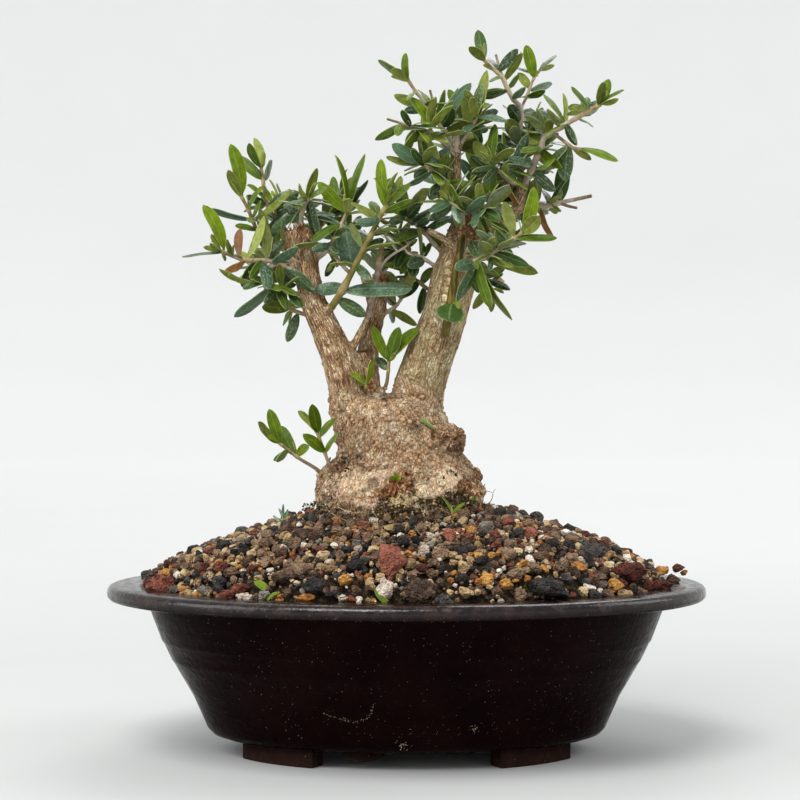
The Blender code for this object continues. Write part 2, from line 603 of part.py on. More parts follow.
def foot_block(name, start, material):
    """Curved foot under the pot's oval, from the angle start on."""
    sweep = math.radians(FOOT_ANGLES[1] - FOOT_ANGLES[0])
    rings = []
    for step in range(FOOT_STEPS + 1):
        turn = math.radians(start) + sweep * step / FOOT_STEPS
        corners = []
        for inward, height in ((0, 0), (FOOT_WIDTH, 0),
                               (FOOT_WIDTH, UNDERSIDE_HEIGHT + FOOT_SINK),
                               (0, UNDERSIDE_HEIGHT + FOOT_SINK)):
            corners.append(((FOOT_OUTER_AXES[0] - inward) * math.cos(turn),
                            (FOOT_OUTER_AXES[1] - inward) * math.sin(turn), height))
        rings.append(corners)
    return solid(name, *loft(rings), material)


def drain_cutter(x):
    turns = [2 * math.pi * i / HOLE_SIDES for i in range(HOLE_SIDES)]
    rings = [[(x + HOLE_RADIUS * math.cos(a), HOLE_RADIUS * math.sin(a), z) for a in turns]
             for z in (UNDERSIDE_HEIGHT - CUT_REACH, FLOOR_HEIGHT + CUT_REACH)]
    return solid("drain_cutter", *loft(rings), None)


def make_pot():
    """Moulded plastic bowl with its flat lip, four feet and two drainage holes."""
    plastic = finish("pot_plastic", (0.018, 0.010, 0.009), 0.28, coat=0.4)
    rings = [oval(*row) for row in POT_OUTER + POT_LIP + POT_INNER]
    pot = solid("pot", *loft(rings), plastic, smooth=35.0)
    middle = sum(FOOT_ANGLES) / 2
    half = (FOOT_ANGLES[1] - FOOT_ANGLES[0]) / 2
    starts = [turn - half for turn in (middle, 180 - middle, 180 + middle, 360 - middle)]
    unite(pot, [foot_block(f"foot_{i}", start, plastic) for i, start in enumerate(starts)])
    for x in (-HOLE_OFFSET, HOLE_OFFSET):
        cut(pot, drain_cutter(x))
    return pot


def make_drainage_mesh(name, x, material):
    """Square plastic net that lies over a drainage hole."""
    holes = MESH_BARS - 1
    opening = (2 * MESH_HALF_SIDE - MESH_BARS * MESH_BAR_WIDTH) / holes
    lines = [-MESH_HALF_SIDE]
    for i in range(2 * holes + 1):
        lines.append(lines[-1] + (opening if i % 2 else MESH_BAR_WIDTH))
    cells = range(len(lines) - 1)
    work = bmesh.new()
    low = FLOOR_HEIGHT + GAP
    grid = [[work.verts.new(((x + u) * MM, v * MM, low * MM)) for v in lines] for u in lines]
    for i in cells:
        for j in cells:
            if not (i % 2 and j % 2):
                work.faces.new((grid[i][j], grid[i + 1][j], grid[i + 1][j + 1], grid[i][j + 1]))
    raised = bmesh.ops.extrude_face_region(work, geom=list(work.faces), use_keep_orig=True)
    for element in raised["geom"]:
        if isinstance(element, bmesh.types.BMVert):
            element.co.z += MESH_THICKNESS * MM
    bmesh.ops.recalc_face_normals(work, faces=work.faces)
    mesh = bpy.data.meshes.new(name)
    work.to_mesh(mesh)
    work.free()
    mesh.materials.append(material)
    net = bpy.data.objects.new(name, mesh)
    bpy.context.scene.collection.objects.link(net)
    return net


def inner_inset(height):
    """Inset of the pot's inner wall at a height."""
    rows = (POT_LIP[-1], *POT_INNER)
    for (near, high), (far, low) in zip(rows, rows[1:]):
        if height >= low:
            return near + (far - near) * (high - height) / (high - low)
    return FLOOR_INSET


def mound_height(x, y):
    """Height of the heaped soil, without its grains."""
    outer = math.hypot(x / (LIP_HALF_LENGTH - MOUND_INSET), y / (LIP_HALF_DEPTH - MOUND_INSET))
    for (far, low), (near, high) in zip(MOUND, MOUND[1:]):
        if outer >= near:
            share = min(max((far - outer) / (far - near), 0.0), 1.0)
            return low + (high - low) * share + MOUND_TILT * x * (1 - min(outer, 1))
    return MOUND[-1][1]


def grain(x, y, seed):
    """Uneven step of the grains, from -1 to 1."""
    return noise.noise(Vector((x * GRAIN_FREQUENCY, y * GRAIN_FREQUENCY, seed))) * GRAIN_GAIN


def foot_ring(height, clearance=0.0, sides=TRUNK_SIDES):
    """Plain oval of the trunk's foot at a height between the buried end and the soil line."""
    share = (height - BURIED_HEIGHT) / (SOIL_LINE - BURIED_HEIGHT)
    half_x = BURIED_AXES[0] + (SOIL_LINE_AXES[0] - BURIED_AXES[0]) * share + clearance
    half_y = BURIED_AXES[1] + (SOIL_LINE_AXES[1] - BURIED_AXES[1]) * share + clearance
    turns = (2 * math.pi * i / sides for i in range(sides))
    return [(FOOT_CENTRE_X + half_x * math.cos(a), half_y * math.sin(a), height) for a in turns]


def make_soil():
    """Gravel soil: fills the pot, heaped to the trunk, with a plain hole for the trunk's foot."""
    earth = finish("gravel", (0.17, 0.11, 0.07), 0.95)
    rings = [oval(inset + WALL_GAP, height + GAP, SOIL_SIDES) for inset, height in reversed(POT_INNER)]
    edge = MOUND[0][1]
    below = edge - RIM_STEP
    rings.append(oval(inner_inset(below) + WALL_GAP, below, SOIL_SIDES))
    rim = oval(inner_inset(edge) + WALL_GAP + 2 * GAP, edge, SOIL_SIDES)
    hole = foot_ring(mound_height(HOLE_LINE_X, 0), HOLE_CLEARANCE, SOIL_SIDES)
    rings.append(rim)
    for step in range(1, SOIL_RINGS):
        share = (step / SOIL_RINGS) ** RING_CROWDING
        ring = []
        for outer, inner in zip(rim, hole):
            x = outer[0] + (inner[0] - outer[0]) * share
            y = outer[1] + (inner[1] - outer[1]) * share
            x += GRAIN_SPREAD * grain(x, y, SPREAD_SEEDS[0])
            y += GRAIN_SPREAD * grain(x, y, SPREAD_SEEDS[1])
            ring.append((x, y, mound_height(x, y) + GRAIN_RISE * grain(x, y, 0.0)))
        rings.append(ring)
    rings.append([(x, y, mound_height(x, y)) for x, y, _ in hole])
    rings.append(foot_ring(BURIED_HEIGHT - GAP, HOLE_CLEARANCE, SOIL_SIDES))
    soil = solid("soil", *loft(rings), earth, smooth=20.0)
    for x in (-HOLE_OFFSET, HOLE_OFFSET):
        reach = MESH_HALF_SIDE + GAP
        low, high = FLOOR_HEIGHT - 1, FLOOR_HEIGHT + 2 * GAP + MESH_THICKNESS
        corners = [(x - reach, -reach), (x + reach, -reach), (x + reach, reach), (x - reach, reach)]
        cut(soil, solid("net_cutter", *loft([[(u, v, z) for u, v in corners]
                                             for z in (low, high)]), None))
    return soil


def place(column, row, depth):
    """Point in millimetres of a place of the front view."""
    scale = (VIEW_RANGE + depth) / VIEW_FOCUS
    return Vector((VIEW_X + (column - VIEW_MIDDLE) * scale, depth,
                   VIEW_Z - (row - VIEW_MIDDLE) * scale))


def smooth_route(points, steps):
    """Points of a Catmull-Rom curve through the route's own points."""
    padded = [2 * points[0] - points[1], *points, 2 * points[-1] - points[-2]]
    curve = []
    for a, b, c, d in zip(padded, padded[1:], padded[2:], padded[3:]):
        for step in range(steps):
            t = step / steps
            curve.append(0.5 * (2 * b + (c - a) * t + (2 * a - 5 * b + 4 * c - d) * t ** 2
                                + (3 * b - a - 3 * c + d) * t ** 3))
    curve.append(points[-1])
    return curve


def tube_rings(points, radii, sides, first_way=None, relief=0.0):
    """Rings square to a route, without twist from one to the next."""
    rings = []
    across = Vector((0, 1, 0))
    for i, (middle, radius) in enumerate(zip(points, radii)):
        way = points[min(i + 1, len(points) - 1)] - points[max(i - 1, 0)]
        if i == 0 and first_way is not None:
            way = first_way
        way.normalize()
        side = (across - way * across.dot(way)).normalized()
        up = way.cross(side)
        across = side
        ring = []
        for k in range(sides):
            turn = 2 * math.pi * k / sides
            spoke = side * math.cos(turn) + up * math.sin(turn)
            swell = 1.0
            if relief:
                swell += relief * 2 * noise.noise((middle + spoke * radius) / LIMB_RELIEF_SIZE)
            ring.append(tuple(middle + spoke * radius * swell))
        rings.append(ring)
    return rings


def make_limb(name, limb, material):
    sides, *rows = limb
    points = [place(*row[:3]) for row in rows]
    rings = tube_rings(points, [row[3] for row in rows], sides, relief=LIMB_RELIEF)
    return solid(name, *loft(rings), material)


def make_base(material):
    """Old base of the tree: a plain buried foot, then an uneven bole up to the fork."""
    rings = [foot_ring(BURIED_HEIGHT), foot_ring(SOIL_LINE)]
    for height, middle, half_x, half_y in TRUNK_BASE:
        ring = []
        for i in range(TRUNK_SIDES):
            turn = 2 * math.pi * i / TRUNK_SIDES
            spoke = Vector((half_x * math.cos(turn), half_y * math.sin(turn), 0))
            spot = (spoke + Vector((0, 0, height / 2))) / BASE_RELIEF_SIZE
            swell = 1 + LIMB_RELIEF * 2 * noise.noise(spot)
            ring.append((middle + spoke.x * swell, spoke.y * swell, height))
        rings.append(ring)
    return solid("trunk", *loft(rings), material)


def collar(name, shoot, material):
    """Swollen foot on the limb that a shoot grows from; it ends just short of the shoot."""
    inner, outer = (place(*point) for point in shoot["stem"][:2])
    way = (outer - inner).normalized()
    radius = shoot["radii"][0] * COLLAR_SWELL
    rings = tube_rings([inner, outer - way * GAP], [radius * COLLAR_ROOT_SWELL, radius], TWIG_SIDES)
    return solid(name, *loft(rings), material)


def make_trunk(bark):
    """Base, stems, boughs, stubs and shoot collars, grown as one piece."""
    trunk = make_base(bark)
    parts = [make_limb(name, limb, bark) for name, limb in LIMBS.items()]
    parts += [collar(name + "_collar", shoot, bark) for name, shoot in SHOOTS.items()]
    unite(trunk, parts, solver="MANIFOLD")
    return trunk


def leaf_points(root, foot, tip, side, up, width, margin=0.0):
    """Points of a leaf blade: its sunk root, two rings with a ridge, and the tip."""
    length = (tip - foot).length
    points = [root - (tip - foot).normalized() * LEAF_ROOT_DEPTH]
    for share, half in LEAF_RINGS:
        middle = foot.lerp(tip, share) + up * (LEAF_BOW * length - margin)
        reach = side * (width * half + margin)
        points += [middle - reach, middle + reach, middle + up * (LEAF_THICKNESS + 2 * margin)]
    points.append(tip + (tip - foot).normalized() * margin)
    return points


LEAF_FACES = (
    (0, 1, 2), (0, 2, 3), (0, 3, 1),
    (1, 2, 5), (1, 5, 4), (2, 3, 6), (2, 6, 5), (3, 1, 4), (3, 4, 6),
    (4, 5, 7), (5, 6, 7), (6, 4, 7),
)


def nearest_on(routes, column, row):
    """Point of the shoot's routes that lies nearest to a place of the front view."""
    best = None
    for route in routes:
        for start, end in zip(route, route[1:]):
            run = Vector((end[0] - start[0], end[1] - start[1]))
            reach = Vector((column - start[0], row - start[1]))
            most = 1.0 - (LEAF_END_INSET / run.length if end is route[-1] else 0.0)
            share = min(max(reach.dot(run) / run.length_squared, 0.0), most)
            spot = tuple(a + (b - a) * share for a, b in zip(start, end))
            miss = math.hypot(column - spot[0], row - spot[1])
            if best is None or miss < best[0]:
                best = (miss, spot)
    return best[1]


def drawn_leaf(routes, leaf, draw):
    """Tries of a leaf that is drawn in the front view, each swung to another depth."""
    foot_column, foot_row, tip_column, tip_row, seen, kind = leaf
    seen_width = seen * MM_PER_UNIT * (OLD_LEAF_WIDENING if kind in "ds" else 1.0)
    spot = nearest_on(routes, foot_column, foot_row)
    root = place(*spot)
    foot = place(foot_column, foot_row, spot[2])
    flat = (place(tip_column, tip_row, spot[2]) - foot).length
    true = max(flat, LEAF_TYPICAL_LENGTH * draw.uniform(*LEAF_LENGTH_RANGE))
    turn = min(math.sqrt(true ** 2 - flat ** 2), LEAF_GREATEST_TURN)
    turn *= draw.choice((-1, 1))
    lean = draw.choice((-1, 1))
    width = max(seen_width, LEAF_LEAST_RATIO * math.hypot(flat, turn))
    roll = math.acos(seen_width / width) * lean
    for swing in SWINGS:
        tip = place(tip_column, tip_row, spot[2] + turn + swing)
        way = (tip - foot).normalized()
        across = way.cross(Vector((0, 1, 0))).normalized()
        out = across.cross(way)
        if out.y > 0:
            out = -out
        side = across * math.cos(roll) + out * math.sin(roll)
        up = out * math.cos(roll) - across * math.sin(roll)
        if kind in "op":
            up = -up
        yield root, foot, tip, side, up, width, kind


def paired_leaves(points, pairs, draw):
    """Opposite pairs up a shoot, each pair square to the last, as lists of tries."""
    total = len(points) - 1
    for pair in range(pairs):
        share = min((pair + PAIR_FIRST) / (pairs - 1 + PAIR_FIRST), 1.0)
        at = share * total
        index = min(int(at), total - 1)
        root = points[index].lerp(points[index + 1], at - index)
        way = (points[index + 1] - points[index]).normalized()
        cross = way.cross(Vector((1, 0, 0.2))).normalized()
        other = way.cross(cross)
        length = draw.uniform(*PAIR_LENGTHS) * (1 - PAIR_SHORTENING * share)
        start = math.radians(PAIR_TURN * pair + draw.uniform(-PAIR_TURN_RANGE, PAIR_TURN_RANGE))
        opening = PAIR_OPENING[0] + (PAIR_OPENING[1] - PAIR_OPENING[0]) * share
        for half in (0, math.pi):
            spread = PAIR_SPREAD * opening + draw.uniform(-PAIR_SPREAD_RANGE, PAIR_SPREAD_RANGE)
            kind = "y" if pair == pairs - 1 else draw.choice(PAIR_KINDS)
            axes = (way, cross, other)
            yield [paired_leaf(root, axes, start + half + swing * PAIR_SWING_ANGLE,
                               math.radians(spread), length, kind) for swing in SWINGS]


def paired_leaf(root, axes, turn, spread, length, kind):
    """Leaf that leaves the shoot at the angle spread, turned about the shoot's own way."""
    way, cross, other = axes
    sideways = cross * math.cos(turn) + other * math.sin(turn)
    grow = way * math.cos(spread) + sideways * math.sin(spread)
    grow = (grow + Vector((0, 0, PAIR_LIFT))).normalized()
    side = grow.cross(sideways.cross(grow)).normalized()
    up = side.cross(grow).normalized()
    if up.z < 0:
        up = -up
    foot = root + grow * PAIR_STALK
    return root, foot, foot + grow * length, side, up, length * LEAF_RATIO, kind


def tree_of(points, faces):
    return BVHTree.FromPolygons([Vector(p) for p in points], faces)


def blade_tree(leaf):
    """The part of a leaf that must not cross a leaf of its own shoot."""
    foot, tip, side, up, width, _ = leaf[1:]
    return tree_of(leaf_points(foot.lerp(tip, LEAF_FREE_FROM), foot, tip, side, up, width), LEAF_FACES)


def first_clear(tries, others, own):
    """First try that is clear of the other shoots and of the blades of its own."""
    for leaf in tries:
        probe = tree_of(leaf_points(*leaf[:6], margin=LEAF_CLEARANCE), LEAF_FACES)
        if any(probe.overlap(other) for other in others):
            continue
        blade = blade_tree(leaf)
        if not any(blade.overlap(other) for other in own):
            return leaf
    return None


def stem_tubes(shoot):
    """Tubes of a shoot and its side twigs, as (points, faces)."""
    inner, *route = [place(*point) for point in shoot["stem"]]
    radii = shoot["radii"]
    tubes = []
    count = len(route) - 1
    widths = [radii[0] + (radii[1] - radii[0]) * i / count for i in range(count + 1)]
    tubes.append(loft(tube_rings(route, widths, TWIG_SIDES, first_way=route[0] - inner)))
    for twig in shoot.get("twigs", ()):
        route = [place(*point) for point in twig]
        count = len(route) - 1
        widths = [radii[1] * (1.0 - TWIG_TAPER * i / count) for i in range(count + 1)]
        tubes.append(loft(tube_rings(route, widths, TWIG_SIDES)))
    return tubes


def grow_leaves(trunk):
    """Leaves of every shoot, each swung until it is clear of what isn't its own shoot."""
    draw = random.Random(PAIR_SEED)
    mesh = trunk.data
    wood = tree_of([v.co / MM for v in mesh.vertices], [tuple(p.vertices) for p in mesh.polygons])
    tubes = {name: stem_tubes(shoot) for name, shoot in SHOOTS.items()}
    twig_trees = {name: [tree_of(*tube) for tube in made] for name, made in tubes.items()}
    leaf_trees = {name: [] for name in SHOOTS}
    leaves = {name: [] for name in SHOOTS}
    blades = {name: [] for name in SHOOTS}
    for name, shoot in SHOOTS.items():
        if "pairs" in shoot:
            route = smooth_route([place(*point) for point in shoot["stem"][1:]], 3)
            wanted = paired_leaves(route, shoot["pairs"], draw)
        else:
            routes = (shoot["stem"][1:], *shoot.get("twigs", ()))
            wanted = (list(drawn_leaf(routes, leaf, draw)) for leaf in shoot["leaves"])
        others = [wood]
        for other in SHOOTS:
            if other != name:
                others += twig_trees[other] + leaf_trees[other]
        for tries in wanted:
            leaf = first_clear(tries, others, blades[name])
            if leaf is not None:
                leaves[name].append(leaf)
                blades[name].append(blade_tree(leaf))
                leaf_trees[name].append(tree_of(leaf_points(*leaf[:6]), LEAF_FACES))
    return tubes, leaves


def make_shoots(trunk):
    """One node for each leafy shoot: its twigs and leaves joined in one body."""
    green = finish("olive_leaf", (0.075, 0.14, 0.035), 0.45)
    tubes, leaves = grow_leaves(trunk)
    for name in SHOOTS:
        (points, faces), *twigs = tubes[name]
        shoot = solid(name, points, faces, green)
        parts = [solid("twig", *twig, green) for twig in twigs]
        parts += [solid("leaf", leaf_points(*leaf[:6]), LEAF_FACES, green) for leaf in leaves[name]]
        unite(shoot, parts)


clear_scene()
make_pot()
net_plastic = finish("drainage_net", (0.02, 0.02, 0.022), 0.5)
make_drainage_mesh("drainage_mesh_left", -HOLE_OFFSET, net_plastic)
make_drainage_mesh("drainage_mesh_right", HOLE_OFFSET, net_plastic)
make_soil()
make_shoots(make_trunk(finish("olive_bark", (0.33, 0.24, 0.16), 0.85)))
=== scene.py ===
"""Looks of an olive bonsai in its oval pot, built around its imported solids."""
import math
import random
from itertools import product

import bmesh
import bpy
import numpy as np
from mathutils import Matrix, Vector, noise
from mathutils.bvhtree import BVHTree
from mathutils.kdtree import KDTree


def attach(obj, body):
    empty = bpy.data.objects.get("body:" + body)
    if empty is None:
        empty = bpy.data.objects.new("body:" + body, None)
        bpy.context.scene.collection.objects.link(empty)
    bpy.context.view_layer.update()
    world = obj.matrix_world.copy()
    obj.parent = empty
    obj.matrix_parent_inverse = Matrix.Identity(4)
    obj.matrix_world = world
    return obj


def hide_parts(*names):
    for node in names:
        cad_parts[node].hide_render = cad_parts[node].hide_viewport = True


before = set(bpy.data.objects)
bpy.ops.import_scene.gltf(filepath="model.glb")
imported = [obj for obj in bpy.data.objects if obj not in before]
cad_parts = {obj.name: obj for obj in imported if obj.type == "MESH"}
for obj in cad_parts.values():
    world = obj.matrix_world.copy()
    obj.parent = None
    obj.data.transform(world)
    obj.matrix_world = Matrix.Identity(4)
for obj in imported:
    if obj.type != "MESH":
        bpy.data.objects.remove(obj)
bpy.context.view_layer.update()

# Camera
# A level view of the tree's front from 0.7 m. The tree is laid out in this view: a place is a column
# and a row of an 800 by 800 picture and a depth in millimetres behind the trunk's middle.
MM = 0.001
VIEW_MIDDLE = 400.0
VIEW_RANGE = 700.0
VIEW_FOCUS = 1890.0
VIEW_X = -2.4
VIEW_Z = 129.0
EYE = Vector((VIEW_X, -VIEW_RANGE, VIEW_Z))
SENSOR = 36.0
bpy.ops.object.camera_add(location=(VIEW_X * MM, -VIEW_RANGE * MM, VIEW_Z * MM),
                          rotation=(math.pi / 2, 0, 0))
camera = bpy.context.object
camera.data.sensor_width = SENSOR
camera.data.lens = VIEW_FOCUS / (2 * VIEW_MIDDLE) * SENSOR
bpy.context.scene.camera = camera


def place(column, row, depth=0.0):
    """Point in millimetres of a place of the front view."""
    scale = (VIEW_RANGE + depth) / VIEW_FOCUS
    across, up = (column - VIEW_MIDDLE) * scale, (VIEW_MIDDLE - row) * scale
    return Vector((VIEW_X + across, depth, VIEW_Z + up))


# Pot
# One moulding of dark brown polypropylene: a flat lip, a sloping wall with faint steps, a rounded
# lower corner, four curved feet and two drainage holes. It was just watered, so it is wet and glossy,
# with grit and lime specks dried on the wall.
LIP_HALF_LENGTH = 110.2
LIP_HALF_DEPTH = 84.0
POT_SIDES = 192
# Rows of the section as (inset from the lip's outermost oval, height), from the underside round.
POT_ROWS = (
    (46.0, 5.3), (42.0, 5.7), (38.4, 7.0), (36.6, 9.0), (35.2, 12.2), (31.5, 20.6), (24.1, 33.3),
    (23.7, 33.7), (23.4, 34.4), (20.6, 40.3), (20.2, 40.7), (19.8, 41.3), (14.8, 54.6), (14.2, 55.6),
    (12.9, 56.0), (2.4, 56.1), (1.0, 56.5), (0.2, 57.4), (0.0, 58.6), (0.2, 59.9), (0.9, 60.9),
    (2.0, 61.4), (13.2, 61.5), (14.2, 61.2), (14.8, 60.4), (17.8, 55.0), (27.8, 32.0), (34.4, 20.6),
    (39.8, 10.6), (44.0, 8.3),
)
FOOT_OUTER_AXES = (66.0, 45.0)
FOOT_WIDTH = 7.0
FOOT_ANGLES = (26.0, 60.0)
FOOT_TOP = 6.5
FOOT_BEVEL = 0.5
GATE_PLACE = (-15.4, -36.5, 5.8)
GATE_SIZE = (8.0, 6.5, 3.6)
HOLE_RADIUS = 7.0
HOLE_OFFSET = 30.0
NODE_MODES = ("operation", "feature", "attribute_name", "data_type")


def rows_of(text):
    """Rows of numbers and words from text with a comma between rows."""
    return [tuple(float(part) if part[0] in "-.0123456789" else part
                  for part in row.split()) for row in text.split(",")]


def linear(text):
    """Linear colour of an sRGB hex value."""
    parts = [int(text[i:i + 2], 16) / 255 for i in (1, 3, 5)]
    return (*(c / 12.92 if c <= 0.04045 else ((c + 0.055) / 1.055) ** 2.4 for c in parts), 1.0)


def feed(made, *values, **named):
    """Fills a node's inputs, in their order or by name, from outputs, hex colours or values."""
    inputs = [(made.inputs[name.replace("_", " ")], value) for name, value in named.items()]
    inputs += zip([socket for socket in made.inputs if socket.enabled], values)
    for socket, value in inputs:
        if isinstance(value, bpy.types.NodeSocket):
            tree.links.new(value, socket)
        elif value is not None:
            socket.default_value = linear(value) if isinstance(value, str) else value


def node(kind, *values, out=None, ramp="", **named):
    """Adds a node, its mode named after its kind, to the tree in hand. Gives the output asked for."""
    kind, *mode = kind.split()
    made = tree.nodes.new("ShaderNode" + kind)
    if mode:
        setattr(made, next(name for name in NODE_MODES if hasattr(made, name)), mode[0])
    for name in [name for name in named if name.islower()]:
        setattr(made, name, named.pop(name))
    feed(made, *values, **named)
    for index, (position, colour) in enumerate(rows_of(ramp) if ramp else ()):
        stops = made.color_ramp.elements
        stop = stops[index] if index < 2 else stops.new(1.0)
        stop.position = position
        stop.color = linear(colour) if isinstance(colour, str) else (colour, colour, colour, 1.0)
    return made.outputs[out] if out else next(socket for socket in made.outputs if socket.enabled)


def new_material(name):
    """Material, its tree and its shader."""
    made = bpy.data.materials.new(name)
    made.use_nodes = True
    return made, made.node_tree, made.node_tree.nodes["Principled BSDF"]


def dress(piece, material):
    """Gives a piece its one material."""
    piece.data.materials.clear()
    piece.data.materials.append(material)


def only(obj):
    """Makes obj the one selected and active object."""
    bpy.ops.object.select_all(action="DESELECT")
    bpy.context.view_layer.objects.active = obj
    obj.select_set(True)


def smoothed(obj, angle):
    """Smooths obj, but not over edges sharper than the angle."""
    only(obj)
    bpy.ops.object.shade_smooth_by_angle(angle=math.radians(angle))


def apply_modifier(obj, kind, **settings):
    """Adds a modifier to obj and applies it."""
    only(obj)
    added = obj.modifiers.new(kind, kind)
    for key, value in settings.items():
        setattr(added, key, value)
    bpy.ops.object.modifier_apply(modifier=added.name)


def new_circle(sides):
    """Opens a circle 1 mm in radius for editing, all of it selected."""
    bpy.ops.mesh.primitive_circle_add(vertices=sides, radius=MM, location=(0, 0, 0))
    bpy.ops.object.mode_set(mode="EDIT")
    bpy.ops.mesh.select_all(action="SELECT")
    return bpy.context.object


def close_edit(inside=False):
    """Turns the normals one way and leaves edit mode."""
    bpy.ops.mesh.select_all(action="SELECT")
    bpy.ops.mesh.normals_make_consistent(inside=inside)
    bpy.ops.object.mode_set(mode="OBJECT")


def turned(name, rings, sides, closed=True):
    """Shell through ovals (half length, half depth, height): a disc, its edge extruded and resized."""
    made = new_circle(sides)
    made.name = name
    bpy.ops.transform.translate(value=(0, 0, rings[0][2] * MM))
    bpy.ops.transform.resize(value=(*rings[0][:2], 1))
    bpy.ops.mesh.edge_face_add()
    bpy.ops.mesh.select_all(action="SELECT")
    bpy.ops.mesh.region_to_loop()
    for (wide, deep, low), (next_wide, next_deep, high) in zip(rings, rings[1:]):
        bpy.ops.mesh.extrude_region_move(TRANSFORM_OT_translate={"value": (0, 0, (high - low) * MM)})
        bpy.ops.transform.resize(value=(next_wide / wide, next_deep / deep, 1))
    if closed:
        bpy.ops.mesh.edge_face_add()
    close_edit(inside=not closed)
    return made


def pot_foot(start):
    """Curved foot: an arc of the feet's oval, extruded inwards and then up."""
    foot = new_circle(POT_SIDES)
    work = bmesh.from_edit_mesh(foot.data)
    end = start + FOOT_ANGLES[1] - FOOT_ANGLES[0]
    for vert in work.verts:
        vert.select = not start - 1 <= math.degrees(math.atan2(vert.co.y, vert.co.x)) % 360 <= end + 1
    work.select_flush_mode()
    bmesh.update_edit_mesh(foot.data)
    bpy.ops.mesh.delete(type="VERT")
    bpy.ops.mesh.select_all(action="SELECT")
    wide, deep = FOOT_OUTER_AXES
    for scale in ((wide, deep, 1), ((wide - FOOT_WIDTH) / wide, (deep - FOOT_WIDTH) / deep, 1)):
        bpy.ops.transform.resize(value=scale, center_override=(0, 0, 0))
        if scale[0] > 1:
            bpy.ops.mesh.extrude_region_move()
    bpy.ops.mesh.select_all(action="SELECT")
    bpy.ops.mesh.extrude_region_move(TRANSFORM_OT_translate={"value": (0, 0, FOOT_TOP * MM)})
    close_edit()
    apply_modifier(foot, "BEVEL", width=FOOT_BEVEL * MM, segments=2, limit_method="ANGLE")
    return foot


def combine(body, other, operation="UNION"):
    """Applies a Boolean of the other object to body and removes the other."""
    apply_modifier(body, "BOOLEAN", object=other, operation=operation)
    bpy.data.objects.remove(other, do_unlink=True)


pot = turned("pot_moulding", [(LIP_HALF_LENGTH - inset, LIP_HALF_DEPTH - inset, height)
                              for inset, height in POT_ROWS], POT_SIDES)
for start in (FOOT_ANGLES[0], 180 - FOOT_ANGLES[1], 180 + FOOT_ANGLES[0], 360 - FOOT_ANGLES[1]):
    combine(pot, pot_foot(start))
bpy.ops.mesh.primitive_uv_sphere_add(segments=32, ring_count=16, radius=MM,
                                     location=[value * MM for value in GATE_PLACE], scale=GATE_SIZE)
combine(pot, bpy.context.object)
for x in (-HOLE_OFFSET, HOLE_OFFSET):
    bpy.ops.mesh.primitive_cylinder_add(vertices=64, radius=HOLE_RADIUS * MM, depth=12 * MM,
                                        location=(x * MM, 0, 7 * MM))
    combine(pot, bpy.context.object, "DIFFERENCE")
smoothed(pot, 32)

# Dark brown polypropylene: almost black with a red cast. The wall is dull where it is dry; the wet lip
# has a clear gloss broken by lime film, and dried grit shows as pale specks 0.2 to 0.5 mm across.
plastic, tree, shader = new_material("wet_brown_polypropylene")
spot = node("TexCoord", out="Object")
colour = node("ValToRGB", node("TexNoise", spot, 60, 5), ramp="0.3 #0b0202, 0.7 #150706")
cells = node("TexVoronoi", spot, 900)
cell = node("SeparateColor", cells.node.outputs["Color"])
reach = node("MapRange", cell.node.outputs["Green"], 0, 1, 0.03, 0.2)
share = node("MapRange", node("TexNoise", spot, 22, 3), 0.42, 0.72, 0.02, 0.35)
speck = node("Math MULTIPLY", node("Math LESS_THAN", cell, share), node("Math LESS_THAN", cells, reach))
speck = node("Math MULTIPLY", speck, 0.4)
height = node("SeparateXYZ", spot, out="Z")
on_lip = node("MapRange", height, 0.0566, 0.0590)
at_foot = node("MapRange", height, 0, 0.0075, 0.7, 0)
film = node("TexNoise", spot, 260, 6, 0.65)
lime = node("Math MULTIPLY", node("MapRange", film, 0.47, 0.64, 0, 0.3), on_lip)
for share, layer in ((lime, "#4d3a31"), (node("Math MULTIPLY", film, at_foot), "#4a3630"),
                     (speck, "#8d8c78")):
    colour = node("Mix RGBA", share, colour, layer)
streaks = node("TexNoise", node("Mapping", spot, Scale=(1, 1, 6)), 45, 2)
bumps = None
for height, distance, strength in (
        (streaks, 0.0012, 0.35), (node("TexNoise", spot, 420, 4), 0.00035, 0.6), (speck, 0.0002, 0.8)):
    bumps = node("Bump", strength, distance, Height=height, Normal=bumps)
feed(shader, Base_Color=colour, Specular_IOR_Level=node("MapRange", on_lip, 0, 1, 0.02, 0.4),
     Roughness=node("Math ADD", node("MapRange", film, 0.38, 0.62, 0.1, 0.32), speck), Normal=bumps)
dress(pot, plastic)
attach(pot, "root")
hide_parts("pot")

# Drainage nets
# Two squares of black polyethylene net, laid over the drainage holes before the soil goes in, so
# that it can't wash out. The solids have the right shape and only get their finish here.
net_plastic, tree, shader = new_material("black_polyethylene_net")
scuffs = node("TexNoise", node("TexCoord", out="Object"), 900, 4)
feed(shader, Base_Color=node("ValToRGB", scuffs, ramp="0.35 #17171a, 0.7 #2b2a2b"), Roughness=0.45,
     Normal=node("Bump", 0.4, 0.0002, Height=scuffs))
for name in ("drainage_mesh_left", "drainage_mesh_right"):
    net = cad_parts[name]
    dress(net, net_plastic)

# Soil
# Mixed bonsai gravel heaped from the lip up to the trunk. Below the loose grains lies a packed bed of
# crumbs and dust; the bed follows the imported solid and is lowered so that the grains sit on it.
BED_DROP = 1.3
BED_ROUGHNESS = 0.8
BED_CUTS = 2
MOUND_AXES = (95.6, 69.4)
# The heap as (share of its axes, height), from its edge inwards.
MOUND = ((1.0, 60.2), (0.94, 67.2), (0.8, 74.0), (0.57, 81.6), (0.33, 88.2), (0.0, 89.0))
MOUND_TILT = 0.024
TRUNK_X = -2.5
SOIL_LINE_AXES = (31.2, 26.0)


def unit(value):
    """The value kept between 0 and 1."""
    return min(max(value, 0.0), 1.0)


